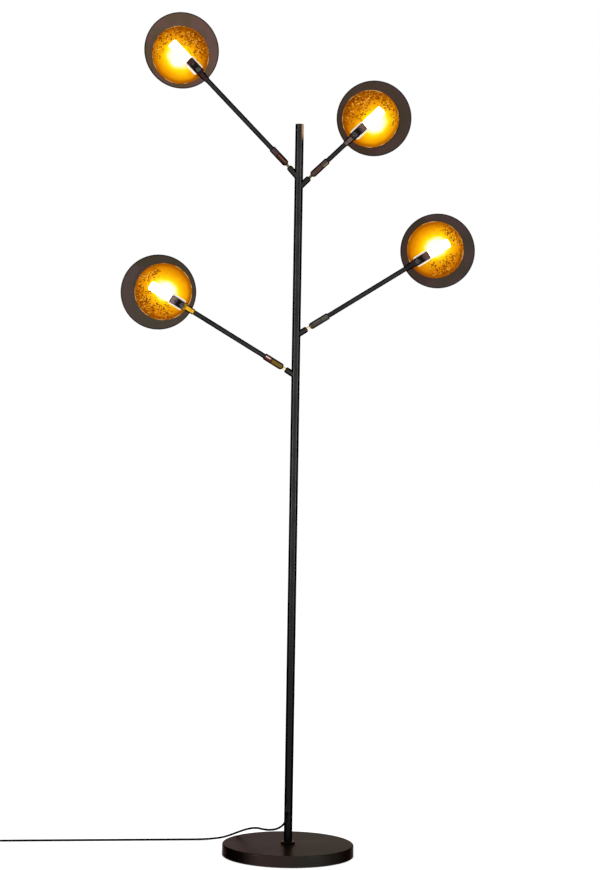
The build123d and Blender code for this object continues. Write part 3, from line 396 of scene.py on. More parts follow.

# %% [markdown]
# ## Joint bronze, stud brass and bracket copper
#
# The barrels and collars are turned from bar and given a dark bronze finish. It is painted black at its sides,
# a painted shade, so its colour follows the facing value. Barrel, collar and the sleeve at the head have a tone
# each, which differs from arm to arm: the lighter, warmer tones are partly the bulb's light, painted in. A
# narrow lighter streak, a painted highlight, runs along the side that the dishes face. The ball studs are plain
# brass: the lower two are bright, and the upper two are olive; their sides are painted darker, a painted shade.
# The brackets are a brown strap with one tone at the far end and one towards the rod, partly painted
# reflections of the bulb and the gilt dish. Between them it is nearly black, and so is a narrow band along its
# edges.

# %% Turned metals
# tones of the barrel, the collar and the sleeve (partly painted bulb light), then a painted highlight streak:
# from, to, how far across, half width, tone
BAR_TONES = {
    "arm_a": ((0.046, 0.017, 0.013), (0.066, 0.038, 0.042), (0.040, 0.020, 0.020),
              (2.0, 24.0, 0.4, 1.0, (0.300, 0.145, 0.050))),
    "arm_b": ((0.080, 0.042, 0.032), (0.072, 0.052, 0.050), (0.130, 0.090, 0.080),
              (28.0, 41.0, -4.6, 1.6, (0.500, 0.310, 0.120))),
    "arm_c": ((0.058, 0.048, 0.040), (0.078, 0.070, 0.062), (0.020, 0.016, 0.016),
              (6.0, 40.0, 2.0, 2.2, (0.105, 0.094, 0.082))),
    "arm_d": ((0.150, 0.088, 0.018), (0.080, 0.022, 0.015), (0.750, 0.390, 0.020),
              (29.0, 41.0, -2.4, 1.8, (0.830, 0.580, 0.510))),
}
# far and near tones of each strap: partly painted reflections of the bulb and the gilt dish
STRAP_TONES = {"arm_a": ((0.050, 0.022, 0.024), (0.022, 0.011, 0.011)),
               "arm_b": ((0.140, 0.085, 0.080), (0.027, 0.016, 0.014)),
               "arm_c": ((0.130, 0.060, 0.050), (0.032, 0.015, 0.017)),
               "arm_d": ((0.200, 0.130, 0.140), (0.300, 0.150, 0.010))}
BARREL_END, SEAM_HALF = 0.0250, 0.0003      # where the barrel's tone becomes the collar's, from the ball
SLEEVE_START = -0.0805
BRIGHT_BELOW, OLIVE_ABOVE = 1.25, 1.35      # heights of the lower and of the upper studs
STRAP_FAR, STRAP_HALF = -0.023, 0.00825     # the strap's far end, and half of its width
FAR_TONE, NEAR_TONE = (-0.036, -0.026), (-0.054, -0.044)


def bronze_finish(head, barrel_tone, collar_tone, sleeve_tone, painted_streak):
    start, end, middle, half, highlight_tone = painted_streak

    def paint(where):
        placed = where.placed_in(head["matrix"])
        x, y, z = placed.parts()
        reach = x + head["length"] * MM
        along = reach / MM                              # millimetres from the ball's centre
        patches = where.noise(75.0, 3.0, 0.6)
        marks = placed.stretch((0.1, 1.0, 1.0)).noise(900.0, 2.0)
        turned = where.facing() + (patches - 0.5) * 0.06
        past_barrel = reach.between(BARREL_END - SEAM_HALF, BARREL_END + SEAM_HALF)
        # painted light: the arm's tones, the sleeve's tone and the highlight streak stand for the bulb's light
        bar = past_barrel.mix((*barrel_tone, 1), (*collar_tone, 1))
        shine = along.between(start - 2, start + 2) * (1 - along.between(end - 2, end + 2))
        shine = shine * (1 - abs(y / MM - middle).between(half * 0.4, half)) * (z > 0)
        highlighted = (shine * 0.9).mix(bar, (*highlight_tone, 1))
        wear_and_painted_light = x.between(SLEEVE_START - 0.001, SLEEVE_START).mix(highlighted, (*sleeve_tone, 1))
        return {
            # painted shade: black where the surface turns away
            "Base Color": turned.between(0.09, 0.28).mix(wear_and_painted_light, (0.003, 0.0025, 0.0025, 1)),
            "Roughness": 0.20 + patches * 0.12 + marks * 0.08,
            "Normal": marks.bump(0.12, 0.00003),
        }
    return paint


def brass_finish(where):
    stain = where.noise(160.0, 3.0)
    olive = stain.between(0.35, 0.65).mix((0.085, 0.070, 0.018, 1), (0.200, 0.140, 0.050, 1))
    bright = stain.between(0.35, 0.65).mix((0.950, 0.780, 0.340, 1), (1.000, 0.860, 0.480, 1))
    colour = where.parts()[2].between(BRIGHT_BELOW, OLIVE_ABOVE).mix(bright, olive)
    return {
        # painted shade: the brass turns dark where it turns away
        "Base Color": where.facing().between(0.30, 0.60).mix(colour, (0.040, 0.015, 0.006, 1)),
        "Roughness": 0.16 + stain * 0.14,
        "Normal": where.noise(1800.0, 2.0).bump(0.1, 0.00002),
    }


def strap_finish(matrix, far_tone, near_tone):
    def paint(where):
        x, y, _ = where.placed_in(matrix).parts()
        stain = where.noise(120.0, 4.0, 0.6)
        marks = where.noise(1500.0, 2.0)
        middle = (0.012, 0.008, 0.009, 1)
        stained = x + stain * 0.008
        far = stained.between(*FAR_TONE).mix(middle, (*far_tone, 1))
        colour = stained.between(*NEAR_TONE).mix((*near_tone, 1), far)
        inset = (STRAP_HALF - abs(y)).at_most(STRAP_FAR - x)
        return {
            # the strap is darkened along a narrow band at its edges
            "Base Color": inset.between(0.0003, 0.0018).mix((0.005, 0.003, 0.003, 1), colour),
            "Roughness": 0.28 + stain * 0.15,
            "Normal": marks.bump(0.12, 0.00003),
        }
    return paint


for arm, head in HEADS.items():
    head["bronze"] = finish_called(f"{arm}_joint_bronze", bronze_finish(head, *BAR_TONES[arm]),
                                   Metallic=1.0, Specular_Tint=(0.0, 0.0, 0.0, 1.0))
    head["strap"] = finish_called(f"{arm}_bracket_copper", strap_finish(head["matrix"], *STRAP_TONES[arm]),
                                  Metallic=1.0)
stud_brass = finish_called("stud_brass", brass_finish, Metallic=1.0, Specular_Tint=(0.3, 0.2, 0.1, 1.0))
print("bronze and strap finishes:", 2 * len(HEADS), "and", stud_brass.name)

# %% [markdown]
# ## Screws, bolt and inner steel
#
# Small fasteners are zinc plated or blued, and the plug's pins are brighter. They are seldom seen, but even a
# small plated screw has a cloudy sheen, so a noise varies its colour and its gloss.

# %% Steel finishes
def steel_finish(dark, light):
    def paint(where):
        bloom = where.noise(240.0, 3.0)
        return {
            "Base Color": bloom.between(0.3, 0.7).mix((*dark, 1), (*light, 1)),
            "Roughness": 0.25 + bloom * 0.2,
            "Normal": where.noise(1600.0, 2.0).bump(0.12, 0.00003),
        }
    return paint


zinc_steel = finish_called("zinc_steel", steel_finish((0.42, 0.42, 0.40), (0.62, 0.62, 0.60)), Metallic=1.0)
blued_steel = finish_called("blued_steel", steel_finish((0.030, 0.029, 0.030), (0.085, 0.080, 0.082)),
                            Metallic=1.0)
plug_metal = finish_called("plug_metal", steel_finish((0.66, 0.65, 0.62), (0.80, 0.79, 0.76)), Metallic=1.0)
print("materials:", zinc_steel.name, blued_steel.name, plug_metal.name)

# %% [markdown]
# ## Ceramic and bulb
#
# The holder is glazed steatite: a cream body with tiny pores and a soft gloss. The bulb's frosted cover is
# lit from inside. A plain emission would be enough to blow it out to white; a warmer, dimmer colour towards
# its base keeps it from looking like a paper cut-out.

# %% Ceramic and bulb
def steatite(where):
    pores = where.cells(900.0).between(0.0, 0.25)
    cloud = where.noise(140.0, 3.0)
    colour = cloud.between(0.3, 0.7).mix((0.78, 0.71, 0.58, 1), (0.88, 0.83, 0.72, 1))
    return {
        "Base Color": (1 - pores).mix(colour, (0.55, 0.48, 0.37, 1)),
        "Roughness": 0.22 + cloud * 0.18,
        "Normal": pores.bump(0.3, 0.00006),
    }


BULB_NECK = (-0.0245, -0.017)   # along the head: the colours change between them


def lit_cover(matrix):
    def paint(where):
        frost = where.noise(700.0, 2.0)
        neck = where.placed_in(matrix).parts()[0].between(*BULB_NECK)
        return {
            "Base Color": neck.mix((0.80, 0.75, 0.66, 1), (0.95, 0.93, 0.88, 1)),
            "Roughness": 0.35 + frost * 0.2,
            "Emission Color": neck.mix((0.45, 0.24, 0.07, 1), (1.0, 0.86, 0.62, 1)),
        }
    return paint


BULB_STRENGTH = 9.0
ceramic = finish_called("ceramic", steatite)
for arm, head in HEADS.items():
    head["bulb"] = finish_called(f"{arm}_bulb_cover", lit_cover(head["matrix"]),
                                 Emission_Strength=BULB_STRENGTH)
print("bulb strength", BULB_STRENGTH)

# %% [markdown]
# ## Gilt dishes
#
# The small dish is leafed: thin leaves laid over a red-brown ground, with wrinkles, cracks and bare specks.
# Lit by the bulb, it runs from near white beside the bulb, through yellow, to deep orange at the rim. The
# bulb really lights it, and a painted emission adds the same fade as a painted glow. It is painted in the
# head's frame, from the distance to the hot spot beside the bulb, and dimmed a little in the creases, a painted
# shade. The leaf is smooth near that spot and breaks into small dark flecks of bare ground and bright flecks,
# which are painted glints, farther off, mostly on the other side of the bulb: each Voronoi cell draws one
# chance, and the local roughness decides how many are dark or bright. The rim's curl is darker, a painted
# shade, with painted highlights along its very lip. The back is dark metal: front and back are told apart by
# their distance to the centre of the curl.

# %% Gilt dishes
GILT_FLOOR_RADIUS, GILT_RIM_RADIUS, GILT_RISE = 0.052, 0.060, 0.004
RIM_SHADE, LIP_SHINE = (0.0500, 0.0580), (0.0590, 0.0598)   # distances from the dish's axis
GLOW_REACH, GLOW_SQUASH = 0.072, 0.84       # a squash below 1 makes the glow longer along the rod
FLECKED_SIDE, FLECKED_FROM = (-0.036, 0.016), (0.022, 0.036)  # flecks fade in: across, and from the hot spot
DARK_SHARE, BRIGHT_SHARE = 0.36, 0.13
GILT_DEPTH, GILT_THICKNESS = -0.016, 0.001
GILT_BEND = ((GILT_RIM_RADIUS - GILT_FLOOR_RADIUS) ** 2 + GILT_RISE ** 2) / (2 * GILT_RISE)
GLOW_STRENGTH = 1.0


def gilt_leaf(matrix, centre, glow):
    side = 1 if glow[1] > 0 else -1

    def paint(where):
        x, y, z = where.placed_in(matrix).parts()
        from_x, from_y = x - centre[0], y - centre[1]
        radius = (from_x * from_x + from_y * from_y).root()
        curl = (radius - GILT_FLOOR_RADIUS).at_least(0.0)
        height = z - (GILT_DEPTH + GILT_BEND)
        front = (curl * curl + height * height).root() < GILT_BEND + GILT_THICKNESS / 2

        patches = where.noise(55.0, 3.0, 0.55)
        warped = where.push(where.noise(150.0, 2.0, output=1), 0.005)
        chance = warped.cells(430.0, output=1).parts()[0]
        creases = warped.stretch((1.0, 0.35, 1.0)).noise(260.0, 4.0, 0.65)

        to_x, to_y = (x - glow[0] * MM) * GLOW_SQUASH, y - glow[1] * MM
        away = (to_x * to_x + to_y * to_y).root() + (patches - 0.5) * 0.010
        rough = (x - y * side).between(*FLECKED_SIDE) * away.between(*FLECKED_FROM)
        rough = rough * patches.between(0.34, 0.56)
        dark = chance < rough * DARK_SHARE
        bright = chance > 1 - rough * BRIGHT_SHARE
        glow_colour = (away / GLOW_REACH).ramp(
            (0.20, (1.0, 1.0, 0.95)), (0.27, (1.0, 0.96, 0.30)), (0.33, (1.0, 0.74, 0.004)),
            (0.46, (0.86, 0.40, 0.001)), (0.60, (0.60, 0.195, 0.0)), (0.78, (0.34, 0.076, 0.0)),
            (1.0, (0.15, 0.026, 0.0)))
        # painted shade: the painted glow is dimmed in the creases
        dimmed = (creases.between(0.45, 0.68) * rough * 0.35).mix(glow_colour, (0.22, 0.04, 0.0, 1))
        wear_and_painted_light = (dark * 0.85).mix(dimmed, (0.10, 0.014, 0.0, 1))
        # painted glints: bright flecks in the emission
        flecked = (bright * 0.6).mix(wear_and_painted_light, (1.0, 0.50, 0.06, 1))
        # painted shade on the rim's curl, and painted highlights along its lip
        rim = radius.between(*RIM_SHADE)
        shaded = (rim * 0.6).mix(flecked, (0.20, 0.045, 0.0, 1))
        lip = radius.between(*LIP_SHINE) * patches.between(0.46, 0.62)
        lit = (lip * 0.7).mix(shaded, (1.0, 0.62, 0.22, 1))
        metal = (dark * 0.8).mix((0.150, 0.058, 0.0012, 1), (0.040, 0.012, 0.001, 1))
        metal = (rim * 0.85).mix(metal, (0.020, 0.006, 0.0002, 1))
        return {
            "Base Color": front.mix((0.022, 0.016, 0.013, 1), metal),
            "Roughness": 0.30 + creases * 0.18 + dark * 0.2,
            "Emission Color": front.mix((0.0, 0.0, 0.0, 1), lit),
            "Normal": creases.bump(0.35, 0.0004),
        }
    return paint


for arm, head in HEADS.items():
    leaf = gilt_leaf(head["matrix"], head["gilt_centre"], head["glow"])
    head["gilt"] = finish_called(f"{arm}_gilt_leaf", leaf, Metallic=1.0,
                                 Specular_Tint=(0.05, 0.015, 0.0, 1.0), Emission_Strength=GLOW_STRENGTH)
print("gilt curl radius", round(GILT_BEND / MM, 2), "mm")

# %% [markdown]
# ## Smoked dishes
#
# The large dish is thick smoked glass. The white room behind it shows through as a dark warm brown, and its
# face mirrors the room only faintly, because its index of refraction is set low. Its ground edge is dull, and
# its black colour is a painted shade, which draws a thin dark outline. The edge is found by its distance from
# the dish's axis. Each casting has a tone of its own, and clouds into a darker, greener shade of it; the first
# arm's lighter, warmer tone is partly the bulb's light, painted in.

# %% Smoked dishes
SMOKED_EDGE = (0.0775, 0.0789)              # distances from the dish's axis where the ground edge begins
THIN_SHARES, THICK_SHARES = (1.10, 1.00, 1.24), (0.85, 0.98, 0.82)
# tones per arm; arm_a's lighter, warmer tone is partly the bulb's light, painted in
SMOKE_TONES = {"arm_a": (0.117, 0.067, 0.045), "arm_b": (0.056, 0.033, 0.022),
               "arm_c": (0.053, 0.034, 0.026), "arm_d": (0.065, 0.045, 0.034)}


def smoked_glass(matrix, centre, tone):
    thin, thick = [(*[value * share for value, share in zip(tone, shares)], 1)
                   for shares in (THIN_SHARES, THICK_SHARES)]

    def paint(where):
        x, y, _ = where.placed_in(matrix).parts()
        from_x, from_y = x - centre[0], y - centre[1]
        radius = (from_x * from_x + from_y * from_y).root()
        edge = radius.between(*SMOKED_EDGE)
        smear = where.noise(26.0, 3.0, 0.6)
        smoke = where.noise(30.0, 2.0).between(0.35, 0.65).mix(thin, thick)
        return {
            # painted shade: the edge is painted black
            "Base Color": edge.mix(smoke, (0.0012, 0.0010, 0.0008, 1)),
            "Metallic": edge,
            "Roughness": 0.05 + smear.between(0.4, 0.75) * 0.05 + edge * 0.4,
            "Normal": where.noise(14.0, 1.0).bump(0.05, 0.0006),
        }
    return paint


for arm, head in HEADS.items():
    glass = smoked_glass(head["matrix"], head["smoked_centre"], SMOKE_TONES[arm])
    head["smoked"] = finish_called(f"{arm}_smoked_glass", glass, IOR=1.2, Transmission_Weight=1.0)
print("smoked glasses:", len(SMOKE_TONES))

# %% [markdown]
# ## Cord, plastics, felt and iron
#
# The cord's sheath is soft black plastic with a satin skin. A plain plastic shader would turn pale along the
# edges of so thin a tube in a white room, so the sheath is a very dark metal with a black edge tint. The
# switch, plug and strain relief have the fine spark grain of a mould. Felt under the base is fibrous, and the
# weight inside is rough cast iron.

# %% Plain finishes
def cord_sheath(where):
    skin = where.noise(1400.0, 3.0)
    return {
        "Base Color": where.noise(40.0, 2.0).mix((0.0030, 0.0030, 0.0030, 1), (0.0065, 0.0062, 0.0062, 1)),
        "Roughness": 0.42 + skin * 0.15,
        "Normal": skin.bump(0.2, 0.00005),
    }


def moulded_plastic(where):
    grain = where.noise(2600.0, 3.0, 0.7)
    return {
        "Base Color": where.noise(60.0, 2.0).mix((0.003, 0.003, 0.003, 1), (0.006, 0.006, 0.006, 1)),
        "Roughness": 0.45 + grain * 0.2,
        "Normal": grain.bump(0.35, 0.00006),
    }


def felt_finish(where):
    fibre = where.stretch((1.0, 0.25, 1.0)).noise(1500.0, 4.0, 0.75)
    return {
        "Base Color": fibre.mix((0.010, 0.010, 0.011, 1), (0.045, 0.045, 0.048, 1)),
        "Roughness": 0.85 + fibre * 0.1,
        "Normal": fibre.bump(0.7, 0.0003),
    }


def cast_finish(where):
    sand = where.noise(700.0, 4.0, 0.7)
    return {
        "Base Color": sand.mix((0.06, 0.058, 0.056, 1), (0.17, 0.165, 0.16, 1)),
        "Roughness": 0.55 + sand * 0.25,
        "Normal": sand.bump(0.6, 0.0003),
    }


black_sheath = finish_called("black_sheath", cord_sheath, Metallic=1.0, Specular_Tint=(0.0, 0.0, 0.0, 1.0))
black_plastic = finish_called("black_plastic", moulded_plastic, Specular_IOR_Level=0.08)
felt = finish_called("felt", felt_finish, Specular_IOR_Level=0.1)
cast_iron = finish_called("cast_iron", cast_finish, Metallic=0.7)
print("materials:", black_sheath.name, black_plastic.name, felt.name, cast_iron.name)

# %% [markdown]
# ## Giving each node its finish
#
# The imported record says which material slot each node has, so a table from slot to finish covers most of
# them. Bulbs, dishes, brackets and joint bronze are the exception: each arm has finishes of its own, painted
# in its head's frame. The foot collar has its own enamel too.

# %% Assign finishes
FINISH_OF_SLOT = {
    "satin_black": black_coat, "base_enamel": base_enamel, "felt": felt, "weight_iron": cast_iron,
    "zinc_steel": zinc_steel, "blued_steel": blued_steel,
    "stud_brass": stud_brass, "ceramic": ceramic,
    "black_cord": black_sheath, "black_plastic": black_plastic, "plug_metal": plug_metal,
}
HEAD_FINISH_OF_SLOT = {"bulb_cover": "bulb", "gilt_leaf": "gilt", "smoked_glass": "smoked",
                       "joint_bronze": "bronze", "bracket_copper": "strap"}


def finish_of(node, slot):
    if node == "foot_collar":
        return foot_enamel
    if slot in HEAD_FINISH_OF_SLOT:
        arm = node[:len("arm_a")]
        return HEADS[arm][HEAD_FINISH_OF_SLOT[slot]]
    return FINISH_OF_SLOT[slot]


for part in frame["record"]["subparts"]:
    mesh = nodes[part["node"]].data
    mesh.materials.clear()
    mesh.materials.append(finish_of(part["node"], part["material_slot"]))
curve.materials.append(black_sheath)

# %% [markdown]
# ## Small repeated details
#
# Rings on a strain relief, ridges on a switch and flakes of loose leaf all repeat, so each is a small
# Geometry Nodes tree with named inputs. The helper below runs a tree once and keeps its plain mesh, because a
# saved model can't hold instances.

# %% Geometry Nodes helper
class Growth:
    """A Geometry Nodes tree under construction."""

    def __init__(self, name, **sizes):
        self.tree = bpy.data.node_groups.new(name, "GeometryNodeTree")
        self.tree.interface.new_socket("Geometry", in_out="INPUT", socket_type="NodeSocketGeometry")
        for size, value in sizes.items():
            kind = "NodeSocketInt" if isinstance(value, int) else "NodeSocketFloat"
            socket = self.tree.interface.new_socket(size, in_out="INPUT", socket_type=kind)
            socket.default_value = value
        self.tree.interface.new_socket("Geometry", in_out="OUTPUT", socket_type="NodeSocketGeometry")
        self.entry = self.tree.nodes.new("NodeGroupInput")
        self.sizes = dict(sizes)

    def size(self, name):
        return self.entry.outputs[name]

    def add(self, kind, settings=None, inputs=None):
        """Add a node and return its first output."""
        made = self.tree.nodes.new(kind)
        for name, value in (settings or {}).items():
            setattr(made, name, value)
        for name, value in (inputs or {}).items():
            if isinstance(value, bpy.types.NodeSocket):
                self.tree.links.new(value, made.inputs[name])
            else:
                made.inputs[name].default_value = value
        return made.outputs[0]

    def grow(self, shape, material, piece_name, place, seed_mesh=None):
        """Close the tree, run it and return one plain mesh object with its place in its mesh."""
        real = self.add("GeometryNodeRealizeInstances", None, {"Geometry": shape})
        painted = self.add("GeometryNodeSetMaterial", None, {"Geometry": real, "Material": material})
        leave = self.tree.nodes.new("NodeGroupOutput")
        self.tree.links.new(painted, leave.inputs[0])
        host = bpy.data.objects.new(piece_name, seed_mesh or bpy.data.meshes.new(piece_name))
        bpy.context.scene.collection.objects.link(host)
        modifier = host.modifiers.new("growth", "NODES")
        modifier.node_group = self.tree
        for item in self.tree.interface.items_tree:
            if item.in_out == "INPUT" and item.name in self.sizes:
                modifier[item.identifier] = self.sizes[item.name]
        graph = bpy.context.evaluated_depsgraph_get()
        mesh = bpy.data.meshes.new_from_object(host.evaluated_get(graph), depsgraph=graph)
        mesh.transform(place)
        host.modifiers.remove(modifier)
        host.data = mesh
        for face in mesh.polygons:
            face.use_smooth = True
        print(piece_name, "faces", len(mesh.polygons))
        return host


print("growth helper ready")

# %% [markdown]
# ## Strain relief rings
#
# The strain relief is a soft tapered sleeve with moulded rings, which let it bend without kinking the cord.
# A line of points carries one ring each, and each ring is scaled by its place on the line.

# %% Strain relief rings
POLE_RADIUS, EXIT_HEIGHT = 9.0, 105.0       # millimetres
EXIT_TURN, EXIT_DIP = radians(5.0), radians(30.0)
FIRST_RING_AT_POLE, FIRST_RING_AT_PLUG = 4, 3


def looking_along(point, direction):
    return Matrix.Translation(point) @ direction.to_track_quat("Z", "Y").to_matrix().to_4x4()


def relief_rings(name, place, rings, length, root_radius, tip_radius):
    growth = Growth(f"{name}_tree", Rings=rings, Length=length, Root_Radius=root_radius,
                    Tip_Radius=tip_radius, Wire=0.14)
    step = growth.add("ShaderNodeMath", {"operation": "DIVIDE"},
                      {0: growth.size("Length"), 1: rings - 1.0})
    offset = growth.add("ShaderNodeCombineXYZ", None, {"Z": step})
    line = growth.add("GeometryNodeMeshLine", None, {"Count": growth.size("Rings"), "Offset": offset})
    hoop = growth.add("GeometryNodeCurvePrimitiveCircle", None, {"Radius": 1.0, "Resolution": 40})
    wire = growth.add("GeometryNodeCurvePrimitiveCircle", None,
                      {"Radius": growth.size("Wire"), "Resolution": 10})
    tube = growth.add("GeometryNodeCurveToMesh", None, {"Curve": hoop, "Profile Curve": wire})
    index = growth.add("GeometryNodeInputIndex")
    scale = growth.add("ShaderNodeMapRange", None, {
        "Value": index, "From Max": rings - 1.0,
        "To Min": growth.size("Root_Radius"), "To Max": growth.size("Tip_Radius")})
    shape = growth.add("GeometryNodeInstanceOnPoints", None,
                       {"Points": line, "Instance": tube, "Scale": scale})
    return growth.grow(shape, black_plastic, name, place)


exit_direction = Vector((-sin(EXIT_TURN) * cos(EXIT_DIP), -cos(EXIT_TURN) * cos(EXIT_DIP), -sin(EXIT_DIP)))
exit_point = Vector((-POLE_RADIUS * sin(EXIT_TURN), -POLE_RADIUS * cos(EXIT_TURN), EXIT_HEIGHT)) * MM
first_ring = exit_point + exit_direction * FIRST_RING_AT_POLE * MM
rings_at_pole = relief_rings("relief_rings", looking_along(first_ring, exit_direction), rings=6,
                             length=13.5 * MM, root_radius=4.15 * MM, tip_radius=3.25 * MM)
plug_direction = Vector((0, 1, 0))
first_ring = plug_entry * MM + Vector((0, FIRST_RING_AT_PLUG * MM, 0))
rings_at_plug = relief_rings("plug_tail_rings", looking_along(first_ring, plug_direction), rings=5,
                             length=12.0 * MM, root_radius=3.35 * MM, tip_radius=4.35 * MM)
for piece in (rings_at_pole, rings_at_plug):
    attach(piece, "stand")

# %% [markdown]
# ## Grip ridges
#
# A foot finds the switch by its ridges, and fingers hold the plug by them. One short round bar is repeated
# on a line of points and sunk a little into the part that carries it.

# %% Grip ridges
# places and distances in millimetres
SWITCH_X, SWITCH_Y, SWITCH_TOP = -702.5, -16.0, 20.0
SWITCH_RIDGES, SWITCH_PITCH = 6, 3.2
OFF_CENTRE, SWITCH_SUNK = 19.0, 0.15
FROM_PIN_FACE, PLUG_SUNK = 11.5, 0.25


def grip_ridges(name, place, ridges, pitch, length, radius):
    growth = Growth(f"{name}_tree", Ridges=ridges, Pitch=pitch, Length=length, Radius=radius)
    offset = growth.add("ShaderNodeCombineXYZ", None, {"X": growth.size("Pitch")})
    line = growth.add("GeometryNodeMeshLine", None, {"Count": growth.size("Ridges"), "Offset": offset})
    half = growth.add("ShaderNodeMath", {"operation": "MULTIPLY"}, {0: growth.size("Length"), 1: 0.5})
    back = growth.add("ShaderNodeMath", {"operation": "MULTIPLY"}, {0: growth.size("Length"), 1: -0.5})
    spine = growth.add("GeometryNodeCurvePrimitiveLine", None, {
        "Start": growth.add("ShaderNodeCombineXYZ", None, {"Y": back}),
        "End": growth.add("ShaderNodeCombineXYZ", None, {"Y": half})})
    wire = growth.add("GeometryNodeCurvePrimitiveCircle", None,
                      {"Radius": growth.size("Radius"), "Resolution": 12})
    bar = growth.add("GeometryNodeCurveToMesh", None,
                     {"Curve": spine, "Profile Curve": wire, "Fill Caps": True})
    shape = growth.add("GeometryNodeInstanceOnPoints", None, {"Points": line, "Instance": bar})
    return growth.grow(shape, black_plastic, name, place)


pads = []
first_x = SWITCH_X - (SWITCH_RIDGES - 1) * SWITCH_PITCH / 2
for way, side in ((-1, "near"), (1, "far")):
    start = Vector((first_x, SWITCH_Y + way * OFF_CENTRE, SWITCH_TOP - SWITCH_SUNK)) * MM
    pads.append(grip_ridges(f"switch_ridges_{side}", Matrix.Translation(start), ridges=SWITCH_RIDGES,
                            pitch=SWITCH_PITCH * MM, length=8.0 * MM, radius=0.55 * MM))
plug_low, plug_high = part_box("plug_body")
middle_height = (plug_low.z + plug_high.z) / 2
stand_up = Matrix.Rotation(radians(90), 4, "X")
along_y = Matrix.Rotation(radians(90), 4, "Z")
for way, side, side_x in ((-1, "left", plug_low.x), (1, "right", plug_high.x)):
    start = Vector((side_x - way * PLUG_SUNK * MM, plug_high.y - FROM_PIN_FACE * MM, middle_height))
    pads.append(grip_ridges(f"plug_ridges_{side}", Matrix.Translation(start) @ along_y @ stand_up,
                            ridges=4, pitch=2.6 * MM, length=7.0 * MM, radius=0.6 * MM))
for pad in pads:
    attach(pad, "stand")
print("grips:", len(pads))

# %% [markdown]
# ## Loose leaf flakes
#
# Where leaves overlap, small loose corners stand up and catch the light as bright flecks. Points are
# scattered with a fixed seed on a ring-shaped grid that follows the dish's front. Each carries a tiny flat
# cone, turned at random about the surface's normal and leaned a little.

# %% Leaf flakes
FRONT_RADII, FRONT_SIDES = (0.020, 0.034, 0.046, 0.052, 0.0565), 48
FLAKES_PER_AREA, FLAKE_SIZE, FLAKE_HEIGHT = 26000.0, 0.0011, 0.00035
LEAN, ANY_TURN = 0.35, 3.14
SMALLEST, LARGEST = (0.35, 0.25, 0.6), (1.1, 0.8, 1.0)
FIRST_SEED = 3


def dish_front(name, centre):
    """The gilt dish's front as a round grid, in the head's frame."""
    mesh = bpy.data.meshes.new(name)
    builder = bmesh.new()
    rows = []
    for radius in FRONT_RADII:
        curl = max(radius - GILT_FLOOR_RADIUS, 0.0)
        height = GILT_DEPTH + GILT_BEND - (GILT_BEND ** 2 - curl ** 2) ** 0.5
        rows.append([builder.verts.new((centre[0] + radius * cos(2 * pi * k / FRONT_SIDES),
                                        centre[1] + radius * sin(2 * pi * k / FRONT_SIDES), height))
                     for k in range(FRONT_SIDES)])
    for inner, outer in zip(rows, rows[1:]):
        for k in range(FRONT_SIDES):
            after = (k + 1) % FRONT_SIDES
            builder.faces.new((inner[k], outer[k], outer[after], inner[after]))
    builder.to_mesh(mesh)
    builder.free()
    return mesh


def leaf_flakes(arm, head, seed):
    name = f"{arm}_leaf_flakes"
    growth = Growth(f"{name}_tree", Density=FLAKES_PER_AREA, Seed=seed, Flake=FLAKE_SIZE)
    scatter = growth.add("GeometryNodeDistributePointsOnFaces", None, {
        "Mesh": growth.entry.outputs["Geometry"], "Density": growth.size("Density"),
        "Seed": growth.size("Seed")}).node
    flake = growth.add("GeometryNodeMeshCone", None, {
        "Vertices": 5, "Side Segments": 1, "Radius Bottom": growth.size("Flake"), "Radius Top": 0.0,
        "Depth": FLAKE_HEIGHT})
    turn_any_way = growth.add("FunctionNodeRandomValue", {"data_type": "FLOAT_VECTOR"}, {
        0: (-LEAN, -LEAN, -ANY_TURN), 1: (LEAN, LEAN, ANY_TURN), "Seed": growth.size("Seed")})
    spin = growth.add("FunctionNodeRotateRotation", {"rotation_space": "LOCAL"}, {
        "Rotation": scatter.outputs["Rotation"], "Rotate By": turn_any_way})
    size = growth.add("FunctionNodeRandomValue", {"data_type": "FLOAT_VECTOR"},
                      {0: SMALLEST, 1: LARGEST, "Seed": growth.size("Seed")})
    shape = growth.add("GeometryNodeInstanceOnPoints", None, {
        "Points": scatter.outputs["Points"], "Instance": flake, "Rotation": spin, "Scale": size})
    piece = growth.grow(shape, head["gilt"], name, head["matrix"], dish_front(name, head["gilt_centre"]))
    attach(piece, arm)


for seed, (arm, head) in enumerate(HEADS.items(), start=FIRST_SEED):
    leaf_flakes(arm, head, seed)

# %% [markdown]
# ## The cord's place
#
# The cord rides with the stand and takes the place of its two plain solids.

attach(mains_cord, "stand")
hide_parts("cord", "cord_coil")
tuple(value * MM for value in route[0])

# %% [markdown]
# ## Floor, room and lights
#
# A catalogue picture has a white sweep, soft light from both sides, and no hard shadow. The floor and the
# world are white to the camera and in reflections, and light the lamp evenly. A tall soft box stands on each
# side in front of the lamp: a round pole shows each as one soft stripe, with its edges left dark. A wide one
# hangs overhead.

# %% Floor and world
FLOOR_HALF, FLOOR_GLOW = 30, 0.52
ROOM_LIGHT, ROOM_SEEN = 0.62, 0.38          # strength as a light, and what is added where the room is seen


def floor_finish(where):
    return {"Base Color": where.noise(3.0, 2.0).mix((0.80, 0.80, 0.80, 1), (0.82, 0.82, 0.82, 1))}


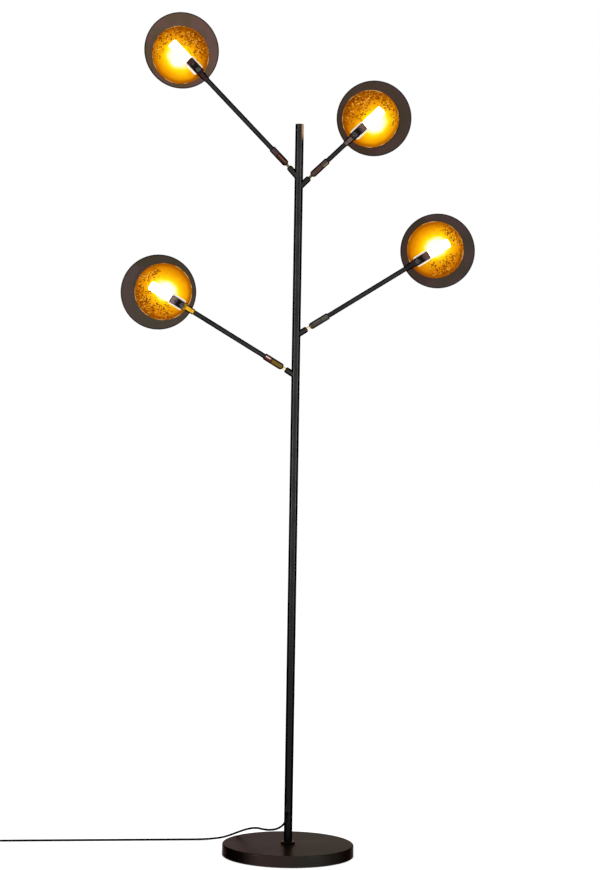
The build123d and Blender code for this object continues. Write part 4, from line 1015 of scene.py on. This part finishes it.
floor_white = finish_called("floor_white", floor_finish, Roughness=0.9, Specular_IOR_Level=0.0,
                            Emission_Color=(1.0, 1.0, 1.0, 1.0), Emission_Strength=FLOOR_GLOW)
floor_mesh = bpy.data.meshes.new("floor")
corners = [(x * FLOOR_HALF, y * FLOOR_HALF, 0) for x, y in ((-1, -1), (1, -1), (1, 1), (-1, 1))]
floor_mesh.from_pydata(corners, [], [(0, 1, 2, 3)])
floor_mesh.materials.append(floor_white)
floor = bpy.data.objects.new("floor", floor_mesh)
bpy.context.scene.collection.objects.link(floor)

world = bpy.data.worlds.new("white_room")
world.use_nodes = True
bpy.context.scene.world = world
background = world.node_tree.nodes["Background"]
path = world.node_tree.nodes.new("ShaderNodeLightPath")
seen = Signal(world.node_tree, path.outputs["Is Camera Ray"])
mirrored = Signal(world.node_tree, path.outputs["Is Glossy Ray"])
through = Signal(world.node_tree, path.outputs["Is Transmission Ray"])
shown = seen.math("ADD", seen + mirrored, through, clamp=True)
strength = ROOM_LIGHT + shown * ROOM_SEEN
world.node_tree.links.new(strength.socket, background.inputs["Strength"])
background.inputs["Color"].default_value = (1.0, 1.0, 1.0, 1.0)
print("world ready")

# %% Soft boxes
def soft_box(name, place, target, size, watts):
    data = bpy.data.lights.new(name, "AREA")
    data.shape = "RECTANGLE"
    data.size, data.size_y = size
    data.energy = watts
    light = bpy.data.objects.new(name, data)
    light.location = place
    light.rotation_euler = (Vector(target) - Vector(place)).to_track_quat("-Z", "Y").to_euler()
    bpy.context.scene.collection.objects.link(light)


for name, x in (("left_box", -2.7), ("right_box", 2.7)):
    soft_box(name, place=(x, -1.8, 1.25), target=(0, 0, 1.1), size=(0.45, 2.2), watts=28.0)
soft_box("overhead", place=(0, -1.0, 4.2), target=(0, 0, 0.8), size=(2.6, 2.6), watts=30.0)

# %% [markdown]
# ## Colour
#
# The Standard view shows colours as they are written.

# %% Finish
bpy.context.scene.view_settings.view_transform = "Standard"
